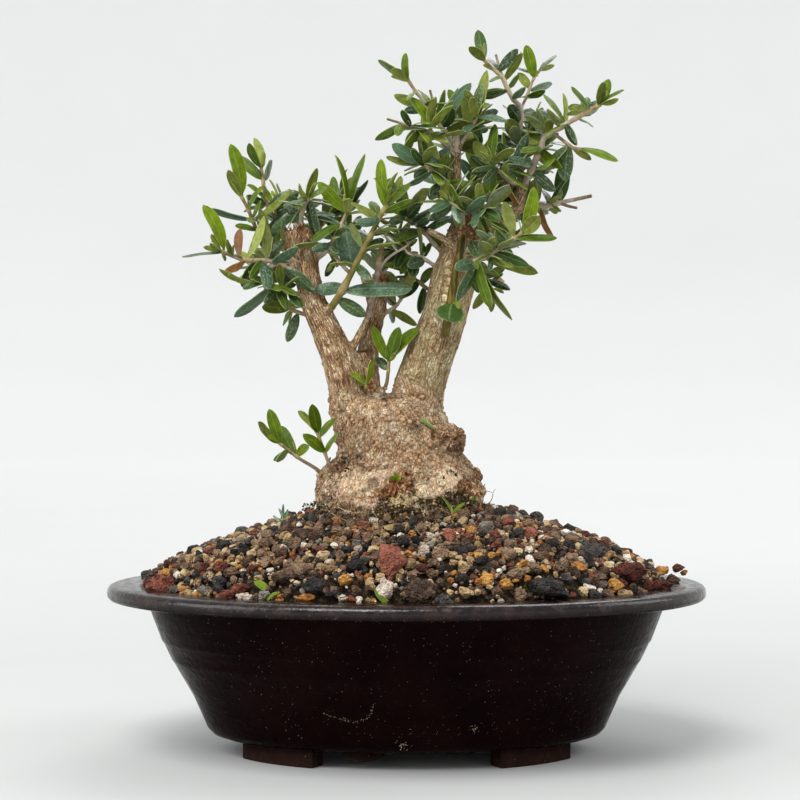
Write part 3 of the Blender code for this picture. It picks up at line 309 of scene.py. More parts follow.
def between(a, b, share):
    """The value at a share of the way from a to b."""
    return a + (b - a) * share


def mound_height(x, y):
    """Height of the heaped soil, without its grains."""
    outer = math.hypot(x / MOUND_AXES[0], y / MOUND_AXES[1])
    for (far, low), (near, high) in zip(MOUND, MOUND[1:]):
        if outer >= near:
            height = low + (high - low) * unit((far - outer) / (far - near))
            return height + MOUND_TILT * x * (1 - min(outer, 1))


def mound_normal(x, y):
    """Direction square to the heap's surface."""
    slopes = [mound_height(x - i, y - j) - mound_height(x + i, y + j) for i, j in ((2.0, 0), (0, 2.0))]
    return Vector((*slopes, 4.0)).normalized()


def off_trunk(x, y):
    """How far a place of the heap is from the trunk's middle: 1 is on the trunk's oval."""
    return (x - TRUNK_X) ** 2 / SOIL_LINE_AXES[0] ** 2 + y ** 2 / SOIL_LINE_AXES[1] ** 2


def merged_copy(node_name, name):
    """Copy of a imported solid, its loose triangles merged, left open for editing."""
    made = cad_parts[node_name].copy()
    made.data = made.data.copy()
    made.name = name
    made.parent = None
    for key in list(made.keys()):
        del made[key]
    bpy.context.scene.collection.objects.link(made)
    only(made)
    bpy.ops.object.mode_set(mode="EDIT")
    bpy.ops.mesh.select_all(action="SELECT")
    bpy.ops.mesh.remove_doubles(threshold=1e-6)
    return made


bed = merged_copy("soil", "soil_bed")
bpy.ops.mesh.select_all(action="DESELECT")
for face in bmesh.from_edit_mesh(bed.data).faces:
    face.select = face.normal.z > 0.2 and face.calc_center_median().z > MOUND[0][1] * MM
bmesh.update_edit_mesh(bed.data)
bpy.ops.mesh.subdivide(number_cuts=BED_CUTS)
bpy.ops.object.mode_set(mode="OBJECT")
for vert in bed.data.vertices:
    spot = vert.co / MM
    if spot.z > MOUND[0][1] + 0.5 and off_trunk(spot.x, spot.y) > 1.1:
        rough = noise.noise(spot / 1.7) + 0.6 * noise.noise(spot / 0.7)
        vert.co.z -= (BED_DROP - BED_ROUGHNESS * rough) * MM
smoothed(bed, 25)

# Crumbs of lava and clay dust: dull dark brown, every crumb another shade, about 1 mm each.
crumbs, tree, shader = new_material("soil_crumbs")
spot = node("TexCoord", out="Object")
cells = node("TexVoronoi", spot, 900)
colour = node("ValToRGB", node("SeparateColor", cells.node.outputs["Color"]),
              ramp="0 #1d1712, 0.45 #3a2f25, 0.8 #54432f, 1 #8a7350")
fine = node("TexNoise", spot, 500, 6)
feed(shader, Base_Color=node("Mix RGBA", fine, "#15100c", colour), Roughness=0.95,
     Specular_IOR_Level=0.2, Normal=node("Bump", 1, 0.0008, Height=node("Math SUBTRACT", cells, fine)))
dress(bed, crumbs)
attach(bed, "root")
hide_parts("soil")

# Gravel
# Loose grains of scoria, baked clay and pumice, 1 to 12 mm, rolled together and poured round the
# tree. Each kind is one piece: its grains are copies of a few broken shapes, turned and stretched.
GRAIN_SEED = 5
GRAIN_SHAPES = 7
GRAIN_FACETS = 9
TOP_GRAINS = 1500
UNDER_GRAINS = 900
FINE_GRAINS = 2600
GRAIN_SINK = 0.28
GRAIN_CROWDING = 0.40
GRAIN_CELL = 8.0
TOP_GRAIN_LEAST = 2.3


def lines_of(text):
    """Rows of every line; a line that is indented goes on with the last."""
    return [rows_of(line) for line in text.strip().replace("\n ", " ").splitlines()]


def rows_by_name(text):
    """Names with their rows, from text with a name at the head of every line that isn't indented."""
    lines = (line.split(None, 1) for line in text.replace("\n ", " ").splitlines())
    return {name: rows_of(rows) for name, rows in lines}


# Kinds as (share of the grains, largest size in millimetres, lava pits, ramp of colours).
GRAIN_KINDS = {
    "brown_scoria": (0.34, 6.3, 1.0, "0 #3f2f24, 0.5 #6d5442, 1 #94795e"),
    "black_scoria": (0.13, 6.5, 1.0, "0 #1d1c1b, 0.6 #3a3633, 1 #58534d"),
    "red_scoria": (0.09, 6.5, 1.0, "0 #4a261d, 0.5 #743e2e, 1 #9c5f4c"),
    "tan_clay": (0.25, 4.8, 0.6, "0 #806546, 0.5 #ae9168, 1 #cdb389"),
    "orange_clay": (0.07, 4.2, 0.6, "0 #84501f, 0.5 #b07538, 1 #c99752"),
    "white_pumice": (0.07, 4.0, 0.5, "0 #b3a08f, 0.5 #d6c8b6, 1 #ece4d6"),
    "grey_rock": (0.05, 5.5, 0.6, "0 #5a544b, 0.6 #7d766b, 1 #9c9588"),
}
# Grains that stand out, as (column, row, width and height in the view, kind, tone from 0 to 1).
SHOWN_GRAINS = rows_of("""
165 582 28 19 red_scoria 0.6, 169 571 15 7 orange_clay 0.7, 179 574 8 7 white_pumice 0.6,
188 592 14 10 tan_clay 0.2, 200 594 13 9 orange_clay 0.6, 227 594 16 13 red_scoria 0.45,
240 587 18 11 red_scoria 0.55, 246 597 19 11 white_pumice 0.15, 391 557 34 28 red_scoria 0.95,
385 585 16 18 white_pumice 0.25, 420 587 28 22 brown_scoria 0.15, 443 599 18 16 black_scoria 0.9,
615 583 15 14 orange_clay 0.75, 627 569 32 20 red_scoria 0.15, 623 592 15 11 tan_clay 0.3,
660 569 15 8 orange_clay 0.5, 656 585 28 14 red_scoria 0.05, 674 579 12 12 brown_scoria 0.2,
679 567 11 8 red_scoria 0.25, 684 572 7 5 orange_clay 0.4, 150 574 16 12 black_scoria 0.8,
172 561 10 11 brown_scoria 0.7, 183 563 11 11 brown_scoria 0.5, 190 559 11 13 tan_clay 0.6,
206 589 14 9 grey_rock 0.4, 220 580 17 12 black_scoria 0.7, 232 571 15 11 brown_scoria 0.6,
253 568 14 9 red_scoria 0.35, 285 574 26 14 brown_scoria 0.3, 299 567 30 12 brown_scoria 0.6,
315 582 22 14 black_scoria 0.35, 332 568 16 9 tan_clay 0.1, 345 578 13 12 orange_clay 0.8,
356 589 12 9 brown_scoria 0.2, 368 576 8 8 orange_clay 0.5, 307 596 14 7 orange_clay 0.3,
343 597 9 8 white_pumice 0.2, 353 598 10 8 red_scoria 0.4, 424 549 11 13 white_pumice 0.2,
465 590 14 10 tan_clay 0.7, 479 556 13 9 orange_clay 0.85, 486 577 14 12 orange_clay 0.8,
463 566 14 12 tan_clay 0.5, 480 560 16 10 black_scoria 0.3, 461 577 12 10 black_scoria 0.5,
515 573 20 12 brown_scoria 0.9, 520 593 16 12 brown_scoria 0.75, 505 582 13 12 orange_clay 0.65,
546 584 38 22 black_scoria 0.4, 588 586 12 7 white_pumice 0.8, 579 566 15 10 orange_clay 0.6,
600 575 13 9 brown_scoria 0.4, 595 595 18 10 black_scoria 0.5, 640 590 11 9 brown_scoria 0.6,
570 557 14 10 brown_scoria 0.8, 540 556 20 12 brown_scoria 0.5, 590 549 24 16 black_scoria 0.75,
610 554 12 9 tan_clay 0.1
""")
draw = random.Random(GRAIN_SEED)


def random_way(source):
    """Vector that may point any way."""
    return Vector([source.gauss(0, 1) for _ in range(3)])


def any_turn():
    """Turn that brings the z axis any way."""
    return random_way(draw).to_track_quat("Z", "Y")


def taken(obj):
    """Points and faces of an object, which is removed."""
    points = np.array([vert.co for vert in obj.data.vertices])
    faces = [tuple(face.vertices) for face in obj.data.polygons]
    bpy.data.objects.remove(obj, do_unlink=True)
    return points, faces


def shaped_ball(subdivisions, shape):
    """Points and faces of a ball whose points are moved by a function."""
    bpy.ops.mesh.primitive_ico_sphere_add(subdivisions=subdivisions, radius=1.0)
    for vert in bpy.context.object.data.vertices:
        vert.co = shape(vert.co.copy())
    return taken(bpy.context.object)


def broken_shape(seed, subdivisions, rough=0.0):
    """A broken grain: a ball chipped flat by planes, with an uneven skin."""
    chips = random.Random(seed)
    planes = [(random_way(chips).normalized(), chips.uniform(0.52, 0.86)) for _ in range(GRAIN_FACETS)]

    def chipped(spot):
        for way, reach in planes:
            spot -= way * max(spot.dot(way) - reach, 0)
        uneven = 1 + 0.22 * noise.noise(spot * 2.3 + Vector((seed * 7.0, 0, 0)))
        return spot * (uneven + rough * noise.noise(spot * 6.1))

    return shaped_ball(subdivisions, chipped)


def grain_copy(shape, spot, size, turn):
    """One grain: a shape stretched to its size, turned and put in its place."""
    return shape[0] * np.array(size) / 2 @ np.array(turn.to_matrix()).T + np.array(spot), shape[1]


def add_grain(parts, shapes, spot, size):
    """Adds a grain of any shape, turn and tone."""
    parts.append((*grain_copy(draw.choice(shapes), spot, size, any_turn()), 0, draw.random()))


def on_mound(column, row):
    """Where the front view's ray through a place meets the heap or the lip."""
    for step in range(round(2 * LIP_HALF_DEPTH)):
        spot = place(column, row, step / 2 - LIP_HALF_DEPTH)
        if spot.z <= max(mound_height(spot.x, spot.y), MOUND[0][1]):
            return spot
    return place(column, row)


def cell_of(spot, size):
    """Cell of a grid in which a place lies."""
    return tuple(int(part // size) for part in spot)


def around(cell):
    """A cell of a grid and its neighbours."""
    return product(*((part - 1, part, part + 1) for part in cell))


def crowded(x, y, radius):
    """Whether a grain would lie too deep in one that is settled."""
    return any(math.hypot(x - other_x, y - other_y) < (radius + other_radius) * 2 * GRAIN_CROWDING
               for cell in around(cell_of((x, y), GRAIN_CELL))
               for other_x, other_y, other_radius in settled.get(cell, ()))


def scattered(reach):
    """Random place on the heap, clear of the trunk's foot."""
    while True:
        turn, out = draw.uniform(0, 2 * math.pi), math.sqrt(draw.random()) * reach
        x, y = MOUND_AXES[0] * out * math.cos(turn), MOUND_AXES[1] * out * math.sin(turn)
        if off_trunk(x, y) > 0.9:
            return x, y


small_shapes, fine_shapes, large_shapes = (
    [broken_shape(seed + first, *detail) for seed in range(GRAIN_SHAPES)]
    for first, *detail in ((0, 2), (20, 1), (40, 4, 0.12)))
grains = {kind: [] for kind in GRAIN_KINDS}
settled = {}
for column, row, wide, high, kind, tone in SHOWN_GRAINS:
    spot = on_mound(column, row + high * 0.3)
    scale = (VIEW_RANGE + spot.y) / VIEW_FOCUS
    size = (wide * scale * 1.18, max(wide, high) * scale * 0.85, high * scale * 1.25)
    spot += mound_normal(spot.x, spot.y) * size[2] * 0.12
    tilt = Matrix.Rotation(draw.uniform(-0.25, 0.25), 3, "Y").to_quaternion()
    grains[kind].append((*grain_copy(draw.choice(large_shapes), spot, size, tilt), 0, tone))
    settled.setdefault(cell_of(spot.xy, GRAIN_CELL), []).append((spot.x, spot.y, max(size) / 2 * 0.8))
kinds = list(GRAIN_KINDS)
shares = [GRAIN_KINDS[kind][0] for kind in kinds]
for share in sorted((draw.uniform(0, 1) ** 2.2 for _ in range(TOP_GRAINS)), reverse=True):
    kind = draw.choices(kinds, shares)[0]
    size = TOP_GRAIN_LEAST + share * (GRAIN_KINDS[kind][1] - TOP_GRAIN_LEAST)
    for _ in range(40):
        x, y = scattered(0.99)
        if not crowded(x, y, size / 2):
            break
    else:
        continue
    settled.setdefault(cell_of((x, y), GRAIN_CELL), []).append((x, y, size / 2))
    stretch = [size * draw.uniform(0.78, 1.2) for _ in range(3)]
    spot = Vector((x, y, mound_height(x, y))) + mound_normal(x, y) * size * (0.4 - GRAIN_SINK)
    add_grain(grains[kind], small_shapes, spot, stretch)
for count, low, high, lift, shapes in ((UNDER_GRAINS, 2.2, 4.2, -0.5, small_shapes),
                                       (FINE_GRAINS, 0.9, 2.1, 0.3, fine_shapes)):
    for _ in range(count):
        kind = draw.choices(kinds, shares)[0]
        size = draw.uniform(low, high)
        x, y = scattered(1.0)
        stretch = [size * draw.uniform(0.8, 1.2) for _ in range(3)]
        spot = Vector((x, y, mound_height(x, y))) + mound_normal(x, y) * lift
        add_grain(grains[kind], shapes, spot, stretch)

ATTRIBUTE_FIELDS = {"FLOAT": (1, "value"), "FLOAT_VECTOR": (3, "vector"), "FLOAT_COLOR": (4, "color")}


def mesh_piece(name, parts, materials, attributes, smooth):
    """Piece from parts: points in millimetres, faces, material number, a value for each attribute."""
    points = np.concatenate([part[0] for part in parts]) * MM
    faces = []
    start = 0
    for part in parts:
        faces += [tuple(int(corner) + start for corner in face) for face in part[1]]
        start += len(part[0])
    mesh = bpy.data.meshes.new(name)
    mesh.from_pydata(points.tolist(), [], faces)
    for index, (attribute, kind) in enumerate(attributes):
        width, field = ATTRIBUTE_FIELDS[kind]
        values = [np.broadcast_to(part[3 + index], (len(part[0]), width)) for part in parts]
        layer = mesh.attributes.new(attribute, kind, "POINT")
        layer.data.foreach_set(field, np.concatenate(values).astype(np.float32).ravel())
    for material in materials:
        mesh.materials.append(material)
    mesh.polygons.foreach_set("material_index", [part[2] for part in parts for _ in part[1]])
    made = bpy.data.objects.new(name, mesh)
    bpy.context.scene.collection.objects.link(made)
    smoothed(made, smooth)
    return made


# Scoria, clay and pumice are all dull. Gas bubbles left pits 0.3 to 0.8 mm wide in the lava, darkened
# nearly to black as painted shade, and each grain has its own tone. Mud clings to the grains at the
# tree's foot.
FOOT_MIDDLE = (TRUNK_X, 2.0, 88.0)
for kind, (_, _, pits, ramp) in GRAIN_KINDS.items():
    stone, tree, shader = new_material(kind)
    spot = node("TexCoord", out="Object")
    tone = node("Attribute tone", out="Fac")
    mottle = node("TexNoise", spot, 420, 5)
    mottle = node("MapRange", mottle, 0.3, 0.7, -0.45, 0.45)
    shade = node("Math ADD", tone, mottle, use_clamp=True)
    colour = node("ValToRGB", shade, ramp=ramp)
    bubbles = node("TexVoronoi", spot, 1300)
    # Painted shade: the bubble pits are darkened towards near black.
    pit_shade = node("MapRange", bubbles, 0.15, 0.4, 0.45 * pits, 0)
    colour = node("Mix RGBA", pit_shade, colour, "#1c1512")
    off_foot = node("VectorMath DISTANCE", spot, [part * MM for part in FOOT_MIDDLE])
    muddy = node("Math MULTIPLY", node("MapRange", off_foot, 0.027, 0.043, 0.8, 0), bubbles)
    muddy = node("Math MULTIPLY", muddy, 1.9, use_clamp=True)
    colour = node("Mix RGBA", muddy, colour, "#3d3122")
    grit = node("TexNoise", spot, 900, 5)
    skin = node("Math ADD", bubbles, grit)
    bumps = node("Bump", 0.6 + 0.4 * pits, 0.0010, Height=skin)
    feed(shader, Base_Color=colour, Normal=bumps, Roughness=0.88, Specular_IOR_Level=0.3)
    heap = mesh_piece("gravel_" + kind, grains[kind], (stone,), (("tone", "FLOAT"),), smooth=38)
    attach(heap, "root")

# Trunk
# Old collected olive wood, grown as one piece: a swollen base full of round lenticels, three stems cut
# back hard, dead stubs, a burl and a patch of bare wood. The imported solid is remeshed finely, its
# joints are grown over by smoothing, and the bark's ridges, pores and scars are raised on it.
TRUNK_VOXEL = 0.585
LIMB_STEPS = 8
LIMB_HITS = 12
JOINT_ROUNDS = 9
BASE_TOP = 134.0
BASE_RADIUS = 22.0
BASE_MIDDLE_X = -4.0
# Heights up to which gravel dust stains the foot and the base has a rough crust.
STAIN_TOP = 93.5
CRUST_TOP = 108.0
GRAIN_STRETCH = 6.0
BASE_STRETCH = 2.4
FORK_BLEND = 7.0
FISSURE_WIDTH = 0.95
FISSURE_DEPTH = 0.32
SHARED_ROUNDS = 2
# Limbs as a name and places (column, row, depth, radius), from the foot up.
LIMBS = """\
left_stem 359 440 0 9.6, 353 408 0 8.7, 346 380 -1 7.3, 337 354 -2 6.3, 326 330 -2 5.7,
 314 304 -2 5, 307 278 -2 5.1, 302 252 -2 5.7, 300 236 -2 6.1, 299 229 -2 5.7
left_stem_heel 370 434 0 9, 363 404 0 7.6, 360 378 1 7, 356 354 2 5
middle_stem 364 396 3 6.5, 366 362 5 4.8, 370 340 6 4, 377 315 7 3.2, 380 295 7 3.2, 381 274 7 3.4
right_stem 412 440 0 12, 416 410 1 10.4, 420 384 2 9.6, 431 352 3 9, 444 316 3 8.6, 454 278 3 8.7,
 462 250 3 7.6, 465 232 3 6.4, 466 221 3 5.2
right_upright 464 236 2 4.4, 460 212 1 3.4, 457 190 0 2.5, 456 166 0 2, 456 148 0 2.4,
 457 142 0 1.5, 457 129 0 1.1
right_bough 466 240 4 4.2, 484 231 5 3.1, 503 222 7 2.6, 517 209 8 2.4, 522 195 8 2.1,
 521 178 8 1.7, 519 156 8 1.3
right_back_bough 466 240 6 3.8, 468 222 14 2.6, 472 208 24 1.9
left_back_bough 305 262 0 3, 310 244 12 2.1, 316 233 23 1.6
middle_back_bough 377 318 6 2.7, 368 291 15 1.7, 362 272 23 1.3
bare_stub 350 352 -1 2, 356 341 -3 1.6, 367 319 -4 1.2, 373 290 -4 1.1, 378 266 -4 1,
 383 247 -4 0.8
cut_stub 458 250 -2 2.4, 443 238 -5 1.5, 427 230 -7 1.3
climbing_shoot 447 336 -5.6 1.5, 451 312 -6.2 1.5, 456 284 -6 1.5, 461 258 -5 1.4, 464 240 -3.6 1.3
knob 442 448 5 6, 447 442 -2 7, 452 437 -8 5.4, 455 434 -12 2.6
left_root 356 472 -6 9, 338 484 -9 6.6, 328 499 -12 3.6
right_root 440 462 2 9, 466 482 0 6.5, 480 498 -2 4
"""
# How the bark of a limb looks, as (fissures, pores, green).
LIMB_BARK = {
    "base": (0.4, 1.0, 0.36), "left_stem": (1.0, 0.3, 0.4), "left_stem_heel": (1.0, 0.4, 0.4),
    "middle_stem": (0.9, 0.2, 0.4), "right_stem": (0.35, 0.25, 0.9), "knob": (0.7, 0.2, 0.0),
    "left_root": (0.6, 0.6, 0.0), "right_root": (0.6, 0.7, 0.0), "climbing_shoot": (0.2, 0.1, 0.8),
    "right_upright": (0.2, 0.05, 0.9), "right_bough": (0.25, 0.1, 0.6),
}
YOUNG_BARK = (0.25, 0.1, 0.5)
# Scars on the front as (column, row, half width, half height) in the view. The dark spots are painted
# shade, most of all under the ledge over the bare wood, with some dirt.
BARE_WOOD = rows_of("352 489 26 15, 386 478 22 10, 372 500 20 8, 427 490 17 12, 448 478 12 12")
WOUNDS = rows_of("399 485 15 11, 386 493 12 7, 467 487 9 8, 434 436 4 4, 367 384 6 8, 404 474 9 6")
DARK_SPOTS = rows_of("""
345 457 16 5, 338 463 10 5, 388 396 9 5, 458 449 6 4, 417 428 8 7, 373 482 5 4, 333 490 6 12,
425 480 5 4, 399 508 16 7, 455 500 24 8, 452 452 12 4, 478 478 5 5
""")
RAW_HEAD = rows_of("480 212 17 26, 470 232 20 14")
# Creases and ridges of the front as (rise in mm, half width in the view, places (column, row)).
CREASES = lines_of("""
-0.9 1.9, 332 467, 345 463, 358 464, 371 470, 392 466
-1.1 1.5, 322 503, 338 500, 352 496, 366 490, 377 485
0.9 3, 360 494, 366 482, 376 474, 394 471
-1.6 3.2, 370 483, 376 480
-1 1.5, 446 426, 450 430, 448 438, 441 446, 432 449
-0.9 1.3, 458 425, 463 434, 461 443, 455 451
-0.9 1.2, 448 434, 450 429, 455 427, 460 430, 461 436, 457 441, 451 440, 448 434
0.8 3, 453 433, 456 435
-0.7 1.3, 404 466, 410 478, 416 490, 421 503
-0.7 1.2, 380 500, 384 492, 393 488, 397 499
-0.6 1.1, 352 470, 348 482, 353 492
-0.6 1.1, 362 470, 359 480, 363 486
-0.5 1, 340 472, 336 484, 340 495
-0.6 1.2, 462 470, 470 484, 473 500
-0.5 1, 341 408, 352 428, 362 449
-0.5 1, 386 400, 392 418, 388 436
""")


class Limb:
    """Route of a limb with its frame, to find a point's place along and round it."""

    def __init__(self, name, points, radii):
        self.name, self.points, self.radii = name, points, radii
        self.mean = sum(radii) / len(radii)
        self.starts, self.ways, self.sides = [0.0], [], []
        side = Vector((0, 1, 0))
        for start, end in zip(points, points[1:]):
            way = (end - start).normalized()
            side = (side - way * side.dot(way)).normalized()
            self.starts.append(self.starts[-1] + (end - start).length)
            self.ways.append(way)
            self.sides.append(side)

    def nearest(self, spot):
        """(distance out of the bark, distance along, way, side, offset) of the nearest place."""
        places_on = []
        for i, (start, way) in enumerate(zip(self.points, self.ways)):
            span = self.starts[i + 1] - self.starts[i]
            run = unit((spot - start).dot(way) / span) * span
            offset = spot - start - way * run
            radius = self.radii[i] + (self.radii[i + 1] - self.radii[i]) * run / span
            places_on.append((offset.length - radius, self.starts[i] + run, way, self.sides[i], offset))
        return min(places_on, key=lambda hit: hit[0])


limbs = [Limb("base", [Vector((BASE_MIDDLE_X, 0, 60)), Vector((BASE_MIDDLE_X, 0, BASE_TOP - 14))],
              [BASE_RADIUS + 6, BASE_RADIUS - 3])]
for name, rows in rows_by_name(LIMBS).items():
    limbs.append(Limb(name, [place(*row[:3]) for row in rows], [row[3] for row in rows]))

trunk = merged_copy("trunk", "trunk_wood")
bpy.ops.object.mode_set(mode="OBJECT")
wood_tree = BVHTree.FromPolygons([vert.co / MM for vert in trunk.data.vertices],
                                 [tuple(face.vertices) for face in trunk.data.polygons])
apply_modifier(trunk, "REMESH", mode="VOXEL", voxel_size=TRUNK_VOXEL * MM)
finder = KDTree(sum(len(limb.points) * LIMB_STEPS for limb in limbs))
owners = []
for index, limb in enumerate(limbs):
    for start, end in zip(limb.points, limb.points[1:]):
        for step in range(LIMB_STEPS):
            finder.insert(start.lerp(end, step / LIMB_STEPS), len(owners))
            owners.append(index)
finder.balance()


def found_limb(spot):
    """The limb whose bark is nearest to a point: its nearest place and its number."""
    near = {owners[hit[1]] for hit in finder.find_n(spot, LIMB_HITS)} | {0}
    return min(((*limbs[i].nearest(spot), i) for i in near), key=lambda hit: hit[0])


# Thin stubs are smoothed less than the stems, so that they don't shrink away.
thick = trunk.vertex_groups.new(name="thick")
for vert in trunk.data.vertices:
    mean = limbs[found_limb(vert.co / MM)[5]].mean
    thick.add([vert.index], max(unit((mean - 0.8) / 4.0), 0.06), "REPLACE")
apply_modifier(trunk, "SMOOTH", factor=0.5, iterations=JOINT_ROUNDS, vertex_group="thick")
trunk.vertex_groups.clear()


def seen_at(spot):
    """Column and row of a point in the front view."""
    scale = (VIEW_RANGE + spot.y) / VIEW_FOCUS
    return VIEW_MIDDLE + (spot.x - VIEW_X) / scale, VIEW_MIDDLE - (spot.z - VIEW_Z) / scale


def patch(column, row, patches, ragged):
    """How far a place lies in a ragged patch, from 0 to 1."""
    most = 0.0
    for middle, level, half_width, half_height in patches:
        out = math.hypot((column - middle) / half_width, (row - level) / half_height)
        most = max(most, unit((1.1 - out + ragged) / 0.2))
    return most


MASKS = ("relief", "rough", "wart", "pore", "green", "bare", "wound", "cut", "dirt")
verts = trunk.data.vertices
masks = {mask: np.zeros(len(verts)) for mask in MASKS}
lift = np.zeros(len(verts))
grain_spots = np.zeros((len(verts), 3))
seen = np.zeros((len(verts), 3))
for vert in verts:
    spot = vert.co / MM
    normal = vert.normal
    _, along, way, side, offset, index = found_limb(spot)
    limb = limbs[index]
    coarse = noise.noise(spot / 6.0)
    fissures, pores, green = LIMB_BARK.get(limb.name, YOUNG_BARK)
    round_way = (offset - way * offset.dot(way)).normalized()
    grain_spot = Vector((round_way.dot(side), round_way.dot(way.cross(side)), 0)) * max(limb.mean, 2.0)
    grain_spot += Vector((0, 0, along / GRAIN_STRETCH + index * 17.0))
    if limb.mean > 3 and limb.name != "knob":
        share = unit((BASE_TOP + 7 * coarse + 3 * noise.noise(spot / 2.0) - spot.z) / FORK_BLEND)
        fissures, pores, green = (between(a, b, share)
                                  for a, b in zip((fissures, pores, green), LIMB_BARK["base"]))
        if share > 0.5:
            index, limb = 0, limbs[0]
            grain_spot = Vector((spot.x, spot.y, spot.z / BASE_STRETCH))
    warped = grain_spot + Vector((coarse, -coarse, 0)) * 1.4
    ridge = noise.noise(warped / FISSURE_WIDTH)
    valley = math.exp(-(ridge / 0.11) ** 2)
    fine = noise.noise(warped / 0.5 + Vector((9, 0, 0)))
    column, row = seen_at(spot)
    ragged = 0.5 * noise.noise(spot / 2.6)
    front = 1.0 if normal.y < 0.3 else 0.0
    seen[vert.index] = column + 4 * ragged, row - 3 * ragged, front
    bare = front * patch(column, row, BARE_WOOD, ragged)
    wound = front * patch(column, row, WOUNDS, ragged)
    # Painted shade in the dark spots, with some dirt.
    dirt = front * patch(column, row, DARK_SPOTS, ragged)
    raw = front * patch(column, row, RAW_HEAD, ragged)
    behind = noise.noise(spot / 11.0 + Vector((3, 8, 1)))
    if not front and limb.name == "base":
        bare = max(bare, unit((behind - 0.28) * 5))
        dirt = max(dirt, unit((-behind - 0.34) * 5))
    foot = unit((STAIN_TOP + 9 * ragged - spot.z) / 5.0)
    end = limb.starts[-1] - along
    cut = 1.0 if index and end < 1.2 and normal.dot(way) > 0.45 and limb.radii[-1] > 1.2 else 0.0
    knob = 1.0 if limb.name == "knob" else 0.0
    calm = 1 - 0.75 * bare
    height = 0.22 * coarse - fissures * calm * FISSURE_DEPTH * valley + 0.14 * fine * (0.3 + fissures)
    if limb.name == "base":
        height += 0.9 * noise.noise(spot / 8.0) * unit((BASE_TOP - spot.z) / 10)
    rugged = 1.2 * noise.noise(spot / 2.2) + 0.8 * noise.noise(spot / 1.1)
    height += (wound + knob + raw) * rugged - 0.9 * wound
    height += cut * 0.5 * noise.noise(spot / 0.8)
    crust = 0.0 if index else unit((CRUST_TOP - spot.z) / 8.0) * (1 - 0.6 * bare)
    height += crust * (1.1 * noise.noise(spot / 3.6) + 0.9 * noise.noise(spot / 1.5) - 0.9 * valley)
    height += foot * 0.5 * noise.noise(spot / 1.3)
    height *= min(limb.mean / 3.0, 1.0) if index else 1.0
    lift[vert.index] = height
    grain_spots[vert.index] = grain_spot
    values = (ridge - valley * fissures, fissures, pores, 0.0, green, bare, max(wound, raw * 0.6), cut,
              max(dirt, foot * 0.85, knob * 0.45))
    for mask, value in zip(MASKS, values):
        masks[mask][vert.index] = value

for (rise, wide), *spots in CREASES:
    nearest = np.full(len(verts), VIEW_MIDDLE)
    for (from_column, from_row), (to_column, to_row) in zip(spots, spots[1:]):
        across, down = to_column - from_column, to_row - from_row
        run = (seen[:, 0] - from_column) * across + (seen[:, 1] - from_row) * down
        run = np.clip(run / (across ** 2 + down ** 2), 0, 1)
        nearest = np.minimum(nearest, np.hypot(seen[:, 0] - from_column - run * across,
                                               seen[:, 1] - from_row - run * down))
    share = np.exp(-(nearest / wide) ** 2) * seen[:, 2]
    lift += rise * share
    # Painted shade: the colour is darkened along the grooves of the creases.
    if rise < 0:
        masks["dirt"] = np.maximum(masks["dirt"], share)

# Where the lenticels grow; the bark swells round each, and a dark ring at its edge is painted shade.
LENTICEL_SEED = 8
LENTICEL_COUNT = 620
LENTICEL_RADII = (0.4, 1.15)
LENTICEL_SINK = 0.25
LENTICEL_CELL = 3
LENTICEL_LOWEST = 94
LENTICEL_BAND = (104, 128)
draw = random.Random(LENTICEL_SEED)
lenticel_spots = []
order = list(range(len(verts)))
draw.shuffle(order)
corky = {}


def corky_near(spot):
    """Lenticels in the cells round a point, as (place, radius)."""
    return [other for cell in around(cell_of(spot, LENTICEL_CELL)) for other in corky.get(cell, ())]


for index in order:
    spot = verts[index].co / MM
    band = 0.45 + 1.1 * noise.noise(Vector((spot.x / 12, spot.y / 12, spot.z / 4)))
    band += 0.4 if LENTICEL_BAND[0] < spot.z < LENTICEL_BAND[1] else -0.15
    weight = masks["wart"][index] * (1 - masks["bare"][index])
    weight *= (1 - masks["cut"][index]) * max(band, 0)
    if spot.z < LENTICEL_LOWEST or draw.random() > weight:
        continue
    radius = between(*LENTICEL_RADII, draw.random() ** 2.2)
    if any((spot - other).length < (radius + reach) * 0.95 for other, reach in corky_near(spot)):
        continue
    corky.setdefault(cell_of(spot, LENTICEL_CELL), []).append((spot, radius))
    lenticel_spots.append((index, radius))
    if len(lenticel_spots) == LENTICEL_COUNT:
        break
for index, vert in enumerate(verts):
    spot = vert.co / MM
    for other, radius in corky_near(spot):
        out = (spot - other).length
        lift[index] += 0.3 * math.exp(-(out / (radius * 1.3)) ** 2)
        # Painted shade: a dark ring round the edge of each lenticel.
        masks["pore"][index] = max(masks["pore"][index], math.exp(-((out - radius * 1.05) / 0.4) ** 2))

edges = np.zeros(len(trunk.data.edges) * 2, np.int32)
trunk.data.edges.foreach_get("vertices", edges)
edges = edges.reshape(-1, 2)
degree = np.bincount(edges.ravel(), minlength=len(verts))


def shared(values, rounds):
    """Values evened out with their neighbours'."""
    for _ in range(rounds):
        around = np.bincount(edges[:, 0], values[edges[:, 1]], len(verts))
        around += np.bincount(edges[:, 1], values[edges[:, 0]], len(verts))
        values = (values + around / degree) / 2
    return values


normals = np.array([vert.normal for vert in verts])
places = np.array([vert.co for vert in verts])
places += normals * shared(lift, 1)[:, None] * MM
verts.foreach_set("co", places.ravel())
for mask in MASKS:
    values = shared(masks[mask], 1 if mask in ("relief", "pore") else SHARED_ROUNDS)
    layer = trunk.data.attributes.new(mask, "FLOAT", "POINT")
    layer.data.foreach_set("value", values.astype(np.float32))
layer = trunk.data.attributes.new("grain", "FLOAT_VECTOR", "POINT")
layer.data.foreach_set("vector", grain_spots.ravel().astype(np.float32))
trunk.data.shade_smooth()

